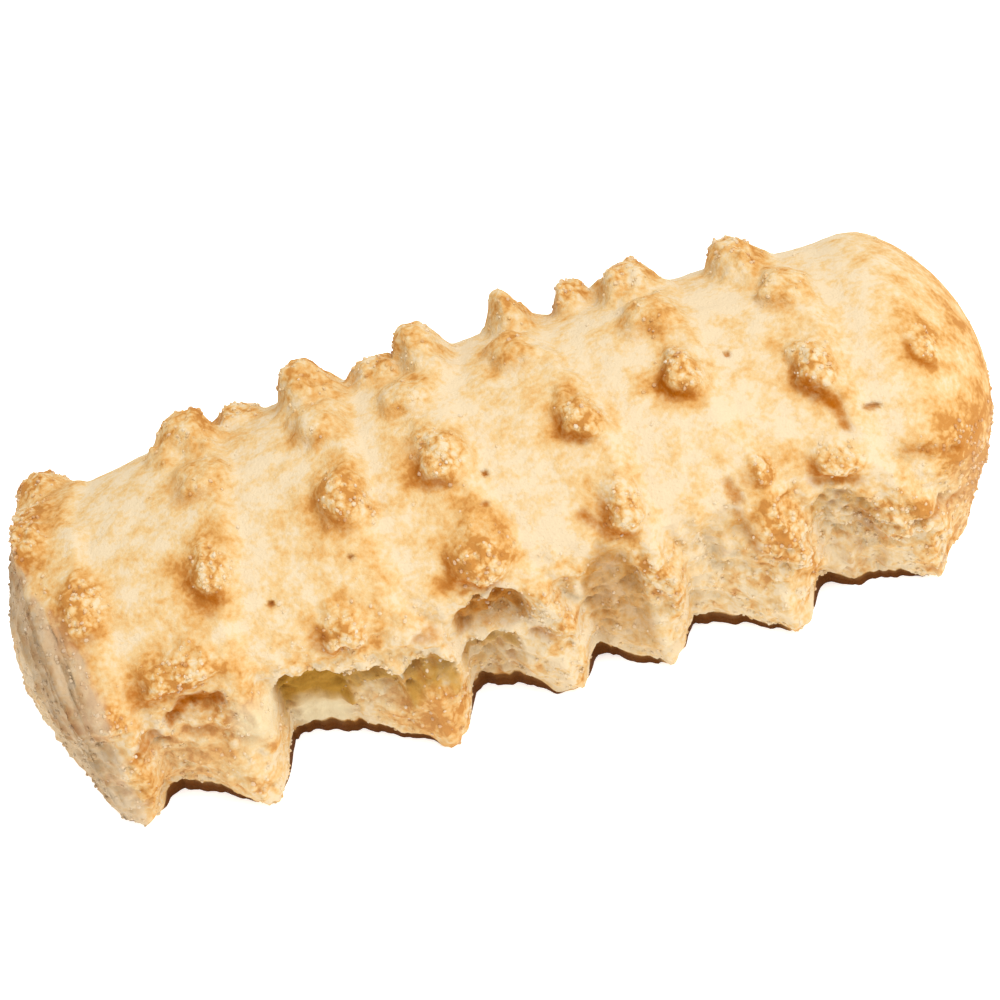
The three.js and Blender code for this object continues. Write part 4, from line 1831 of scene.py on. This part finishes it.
@dataclass
class Grains:
    """Small uneven grains that stick to the skin where it is crumbly.

    The density is the number on a square millimetre of the crumbliest skin, and the more gathered they are,
    the fewer lie elsewhere.
    """

    SLIMMEST = (0.7, 0.7, 0.6)
    FATTEST = (1.3, 1.15, 1.0)
    FULL_TURN = (6.28, 6.28, 6.28)
    SHAPE_SEED = 8
    TURN_SEED = 9
    TINT_SEED = 10

    name: str
    body: bpy.types.Object
    material: bpy.types.Material
    density: float
    smallest: float
    largest: float
    gathered: float
    seed: int

    def build(self) -> bpy.types.Object:
        """Sows the grains on the body with Geometry Nodes, each with its own size, turn and shade.

        Returns:
            The finished piece.
        """
        piece = bpy.data.objects.new(self.name, self.body.data.copy())
        bpy.context.scene.collection.objects.link(piece)
        sizes = {
            "Density": self.density / MM**2,
            "Gathered": self.gathered,
            "Smallest": self.smallest * MM,
            "Largest": self.largest * MM,
            "Seed": self.seed,
        }
        tree = GeometryTree("sow_" + self.name, sizes | {"Material": self.material})
        bench, given = tree.bench, tree.given
        thick = bench.maths("POWER", tree.mark(Mark.CRUMB), given["Gathered"])
        density = bench.maths("MULTIPLY", thick, given["Density"])
        sowing = {"Mesh": given["Geometry"], "Density": density, "Seed": given["Seed"]}
        sown = bench.add("GeometryNodeDistributePointsOnFaces", sowing).outputs["Points"]
        grain = bench.add("GeometryNodeMeshIcoSphere", {"Radius": 1.0, "Subdivisions": 1}).outputs[0]
        size = self._number(bench, given["Smallest"], given["Largest"], given["Seed"])
        scale = bench.scaled(self._triple(bench, self.SLIMMEST, self.FATTEST, self.SHAPE_SEED), size)
        turn = self._triple(bench, (0.0, 0.0, 0.0), self.FULL_TURN, self.TURN_SEED)
        placing = {"Points": sown, "Instance": grain, "Rotation": turn, "Scale": scale}
        placed = bench.add("GeometryNodeInstanceOnPoints", placing).outputs[0]
        tint = self._number(bench, 0.0, 1.0, self.TINT_SEED)
        tree.run(tree.store(placed, Mark.TINT, tint, Carrier.GRAIN), piece)
        return piece

    @staticmethod
    def _number(bench: NodeBench, low: object, high: object, seed: object) -> Socket:
        """A random number for each grain, between two others."""
        return bench.add("FunctionNodeRandomValue", {2: low, 3: high, "Seed": seed}).outputs[1]

    @staticmethod
    def _triple(bench: NodeBench, low: Colour, high: Colour, seed: int) -> Socket:
        """A random triple for each grain, between two others."""
        values = {0: low, 1: high, "Seed": seed}
        return bench.add("FunctionNodeRandomValue", values, data_type="FLOAT_VECTOR").outputs[0]


@dataclass
class Studio:
    """The white floor, the soft light and the camera, in metres, but with the sensor in millimetres."""

    finish: FloorFinish
    floor_size: float = 3.0
    sky_strength: float = 0.86
    lamp_energy: float = 10.0
    lamp_size: float = 0.9
    lamp_place: tuple[float, float, float] = (0.42, -0.32, 1.0)
    elevation: float = 44.0
    roll: float = 17.8
    distance: float = 0.45
    nearest: float = 0.01
    sensor: float = 36.0
    view_width: float = 0.0941
    aim: tuple[float, float, float] = (0.000195, -0.000429, 0.0101)
    aim_up: float = 0.001035

    def build(self) -> None:
        """Makes the floor, the light and the camera."""
        self._floor()
        self._light()
        self._camera()

    def _floor(self) -> None:
        """A wide flat floor that the biscuit lies on."""
        half = self.floor_size / 2
        mesh = bpy.data.meshes.new("floor")
        corners = [(-half, -half, 0.0), (half, -half, 0.0), (half, half, 0.0), (-half, half, 0.0)]
        mesh.from_pydata(corners, [], [(0, 1, 2, 3)])
        mesh.materials.append(self.finish.material())
        floor = bpy.data.objects.new("floor", mesh)
        bpy.context.scene.collection.objects.link(floor)

    def _light(self) -> None:
        """An even white surround, and one large soft lamp high on the right."""
        world = bpy.data.worlds.new("white_surround")
        world.use_nodes = True
        sky = world.node_tree.nodes["Background"]
        sky.inputs["Color"].default_value = WHITE
        sky.inputs["Strength"].default_value = self.sky_strength
        bpy.context.scene.world = world
        lamp = bpy.data.lights.new("soft_lamp", "AREA")
        lamp.shape = "DISK"
        lamp.size = self.lamp_size
        lamp.energy = self.lamp_energy
        holder = bpy.data.objects.new("soft_lamp", lamp)
        place = Vector(self.lamp_place)
        turn = (-place).to_track_quat("-Z", "Y").to_matrix().to_4x4()
        holder.matrix_world = Matrix.Translation(place) @ turn
        bpy.context.scene.collection.objects.link(holder)

    def _camera(self) -> None:
        """A long lens that looks down on the front, rolled so that the log rises to the right."""
        lens = bpy.data.cameras.new("camera")
        lens.sensor_width = self.sensor
        lens.lens = self.sensor * self.distance / self.view_width
        lens.clip_start = self.nearest
        lift = math.radians(self.elevation)
        back = Vector((0.0, -math.cos(lift), math.sin(lift)))
        right = Vector((1.0, 0.0, 0.0))
        up = back.cross(right)
        turn = Matrix((right, up, back)).transposed() @ Matrix.Rotation(math.radians(-self.roll), 3, "Z")
        aim = Vector(self.aim) + up * self.aim_up
        camera = bpy.data.objects.new("camera", lens)
        camera.matrix_world = Matrix.Translation(aim + back * self.distance) @ turn.to_4x4()
        bpy.context.scene.collection.objects.link(camera)
        bpy.context.scene.camera = camera
        bpy.context.scene.view_settings.view_transform = "Standard"


def main() -> None:
    """Builds the biscuit and the studio round it, piece by piece."""
    logging.basicConfig(level=logging.INFO, format="%(name)s: %(message)s")
    body = BiscuitBody(Dough(), CrustFinish()).build()
    crumbs = Grains(
        "crumbs",
        body,
        material=body.data.materials[0],
        density=1.6,
        smallest=0.1,
        largest=0.27,
        gathered=1.3,
        seed=5,
    ).build()
    sugar = Grains(
        "sugar",
        body,
        material=SugarFinish().material(),
        density=0.1,
        smallest=0.12,
        largest=0.24,
        gathered=2.4,
        seed=6,
    ).build()
    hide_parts("biscuit")
    for piece in (body, crumbs, sugar):
        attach(piece, "root")
        piece.data.calc_loop_triangles()
        LOG.info("%s: %d triangles", piece.name, len(piece.data.loop_triangles))
    Studio(FloorFinish()).build()


if __name__ == "__main__":
    main()
